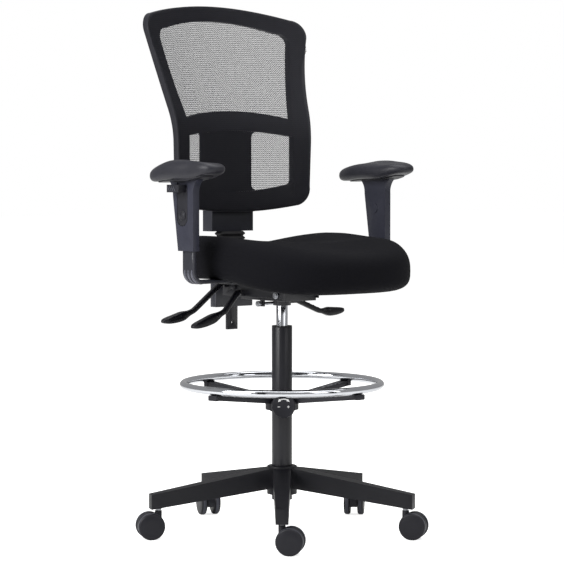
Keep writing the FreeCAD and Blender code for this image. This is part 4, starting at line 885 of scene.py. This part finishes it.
class CHAIR_OT_stage(bpy.types.Operator):
    """Set up the floor, the studio lights and the camera"""
    bl_idname = "chair.stage"
    bl_label = "Stage"

    def execute(self, context):
        scene = context.scene
        bpy.ops.mesh.primitive_plane_add(size=60)
        floor = context.active_object
        floor.name = "studio_floor"
        made, tree, shader, place = start_material("matt_white_paint", {"Roughness": 0.9})
        shader.inputs["Specular IOR Level"].default_value = 0.1
        shade = add(tree, "ShaderNodeTexNoise", {"Scale": 0.5}, {"Vector": place})
        mix = add(tree, "ShaderNodeMix", {"data_type": "RGBA", 6: linear("#f2f2f1"),
                                          7: linear("#f5f5f4")}, {0: shade.outputs["Fac"]})
        tree.links.new(mix.outputs[2], shader.inputs["Base Color"])
        # The sweep is lit until it burns out to white, without lighting the chair from below.
        paths = add(tree, "ShaderNodeLightPath")
        glow = add(tree, "ShaderNodeMapRange", {"To Min": 0.0, "To Max": 0.72},
                   {"Value": paths.outputs["Is Camera Ray"]})
        shader.inputs["Emission Color"].default_value = (1, 1, 1, 1)
        tree.links.new(glow.outputs["Result"], shader.inputs["Emission Strength"])
        floor.data.materials.append(made)

        card, tree, shader, place = start_material("black_felt_card", {"Roughness": 1.0})
        mottle(tree, shader, place, linear("#0a0a0a"), 1.3, 30.0, 0.9, 1.0)
        for number, spot in enumerate(((-1.75, -0.9), (0.55, -2.1)), start=1):
            bpy.ops.mesh.primitive_plane_add(size=1, location=(*spot, 0.9))
            flag = context.active_object
            flag.name = f"studio_flag_{number}"
            flag.scale = (0.35, 1.8, 1)
            flag.rotation_euler = (math.pi / 2, 0, math.atan2(spot[0], -spot[1]))
            flag.data.materials.append(card)

        world = bpy.data.worlds.new("studio_world")
        scene.world = world
        world.use_nodes = True
        tree = world.node_tree
        paths = add(tree, "ShaderNodeLightPath")
        level = add(tree, "ShaderNodeMapRange", {"To Min": 0.34, "To Max": 1.0},
                    {"Value": paths.outputs["Is Camera Ray"]})
        sky = tree.nodes["Background"]
        tree.links.new(level.outputs["Result"], sky.inputs["Strength"])
        sky.inputs["Color"].default_value = (1, 1, 1, 1)

        # Name, place, what it faces, size and watts.
        lights = (("key", (-3.6, 0.2, 2.2), (0, 0, 0.8), 2.2, 135.0),
                  ("top", (0.2, -0.4, 4.2), (0, 0, 0.6), 4.0, 130.0),
                  ("front", (0.8, -4.2, 2.4), (0, 0, 0.7), 2.6, 48.0),
                  ("rim", (2.6, 2.6, 2.4), (0, 0, 0.8), 1.8, 40.0))
        for name, spot, target, size, watts in lights:
            lamp = bpy.data.lights.new(f"{name}_light", "AREA")
            lamp.size = size
            lamp.energy = watts
            holder = bpy.data.objects.new(f"{name}_light", lamp)
            scene.collection.objects.link(holder)
            holder.location = spot
            way = Vector(target) - Vector(spot)
            holder.rotation_euler = way.to_track_quat("-Z", "Y").to_euler()
            holder.visible_glossy = name != "rim"

        lens = bpy.data.cameras.new("view")
        lens.sensor_width = 36
        lens.lens = 136.7
        camera = bpy.data.objects.new("view", lens)
        scene.collection.objects.link(camera)
        azimuth, tilt, reach = math.radians(41), math.radians(3.0), 5.25
        camera.location = (-reach * math.sin(azimuth), -reach * math.cos(azimuth), 0.893)
        camera.rotation_euler = (math.pi / 2 - tilt, 0, -azimuth)
        scene.camera = camera
        scene.view_settings.view_transform = "Standard"
        return {"FINISHED"}


class CHAIR_PT_panel(bpy.types.Panel):
    """The chair's sizes, colours and pieces"""
    bl_idname = "CHAIR_PT_panel"
    bl_label = "Drafting Chair"
    bl_space_type = "VIEW_3D"
    bl_region_type = "UI"
    bl_category = "Chair"

    def draw(self, context):
        for group in (context.scene.chair_sizes, context.scene.chair_colours):
            for name in type(group).__annotations__:
                self.layout.prop(group, name)
        for operator in PIECES:
            self.layout.operator(operator.bl_idname)


PIECES = (CHAIR_OT_finishes, CHAIR_OT_cushion, CHAIR_OT_net, CHAIR_OT_lumbar, CHAIR_OT_arm_pads,
          CHAIR_OT_arm_details, CHAIR_OT_bellows, CHAIR_OT_levers, CHAIR_OT_foot_ring,
          CHAIR_OT_knob, CHAIR_OT_wheels, CHAIR_OT_stage)
CLASSES = (ChairSizes, ChairColours) + PIECES + (CHAIR_PT_panel,)


def register():
    for item in CLASSES:
        bpy.utils.register_class(item)
    bpy.types.Scene.chair_sizes = bpy.props.PointerProperty(type=ChairSizes)
    bpy.types.Scene.chair_colours = bpy.props.PointerProperty(type=ChairColours)


def unregister():
    del bpy.types.Scene.chair_colours
    del bpy.types.Scene.chair_sizes
    for item in reversed(CLASSES):
        bpy.utils.unregister_class(item)


def main():
    """Register and build every piece in order."""
    register()
    for operator in PIECES:
        family, name = operator.bl_idname.split(".")
        getattr(getattr(bpy.ops, family), name)()


if __name__ == "__main__":
    main()
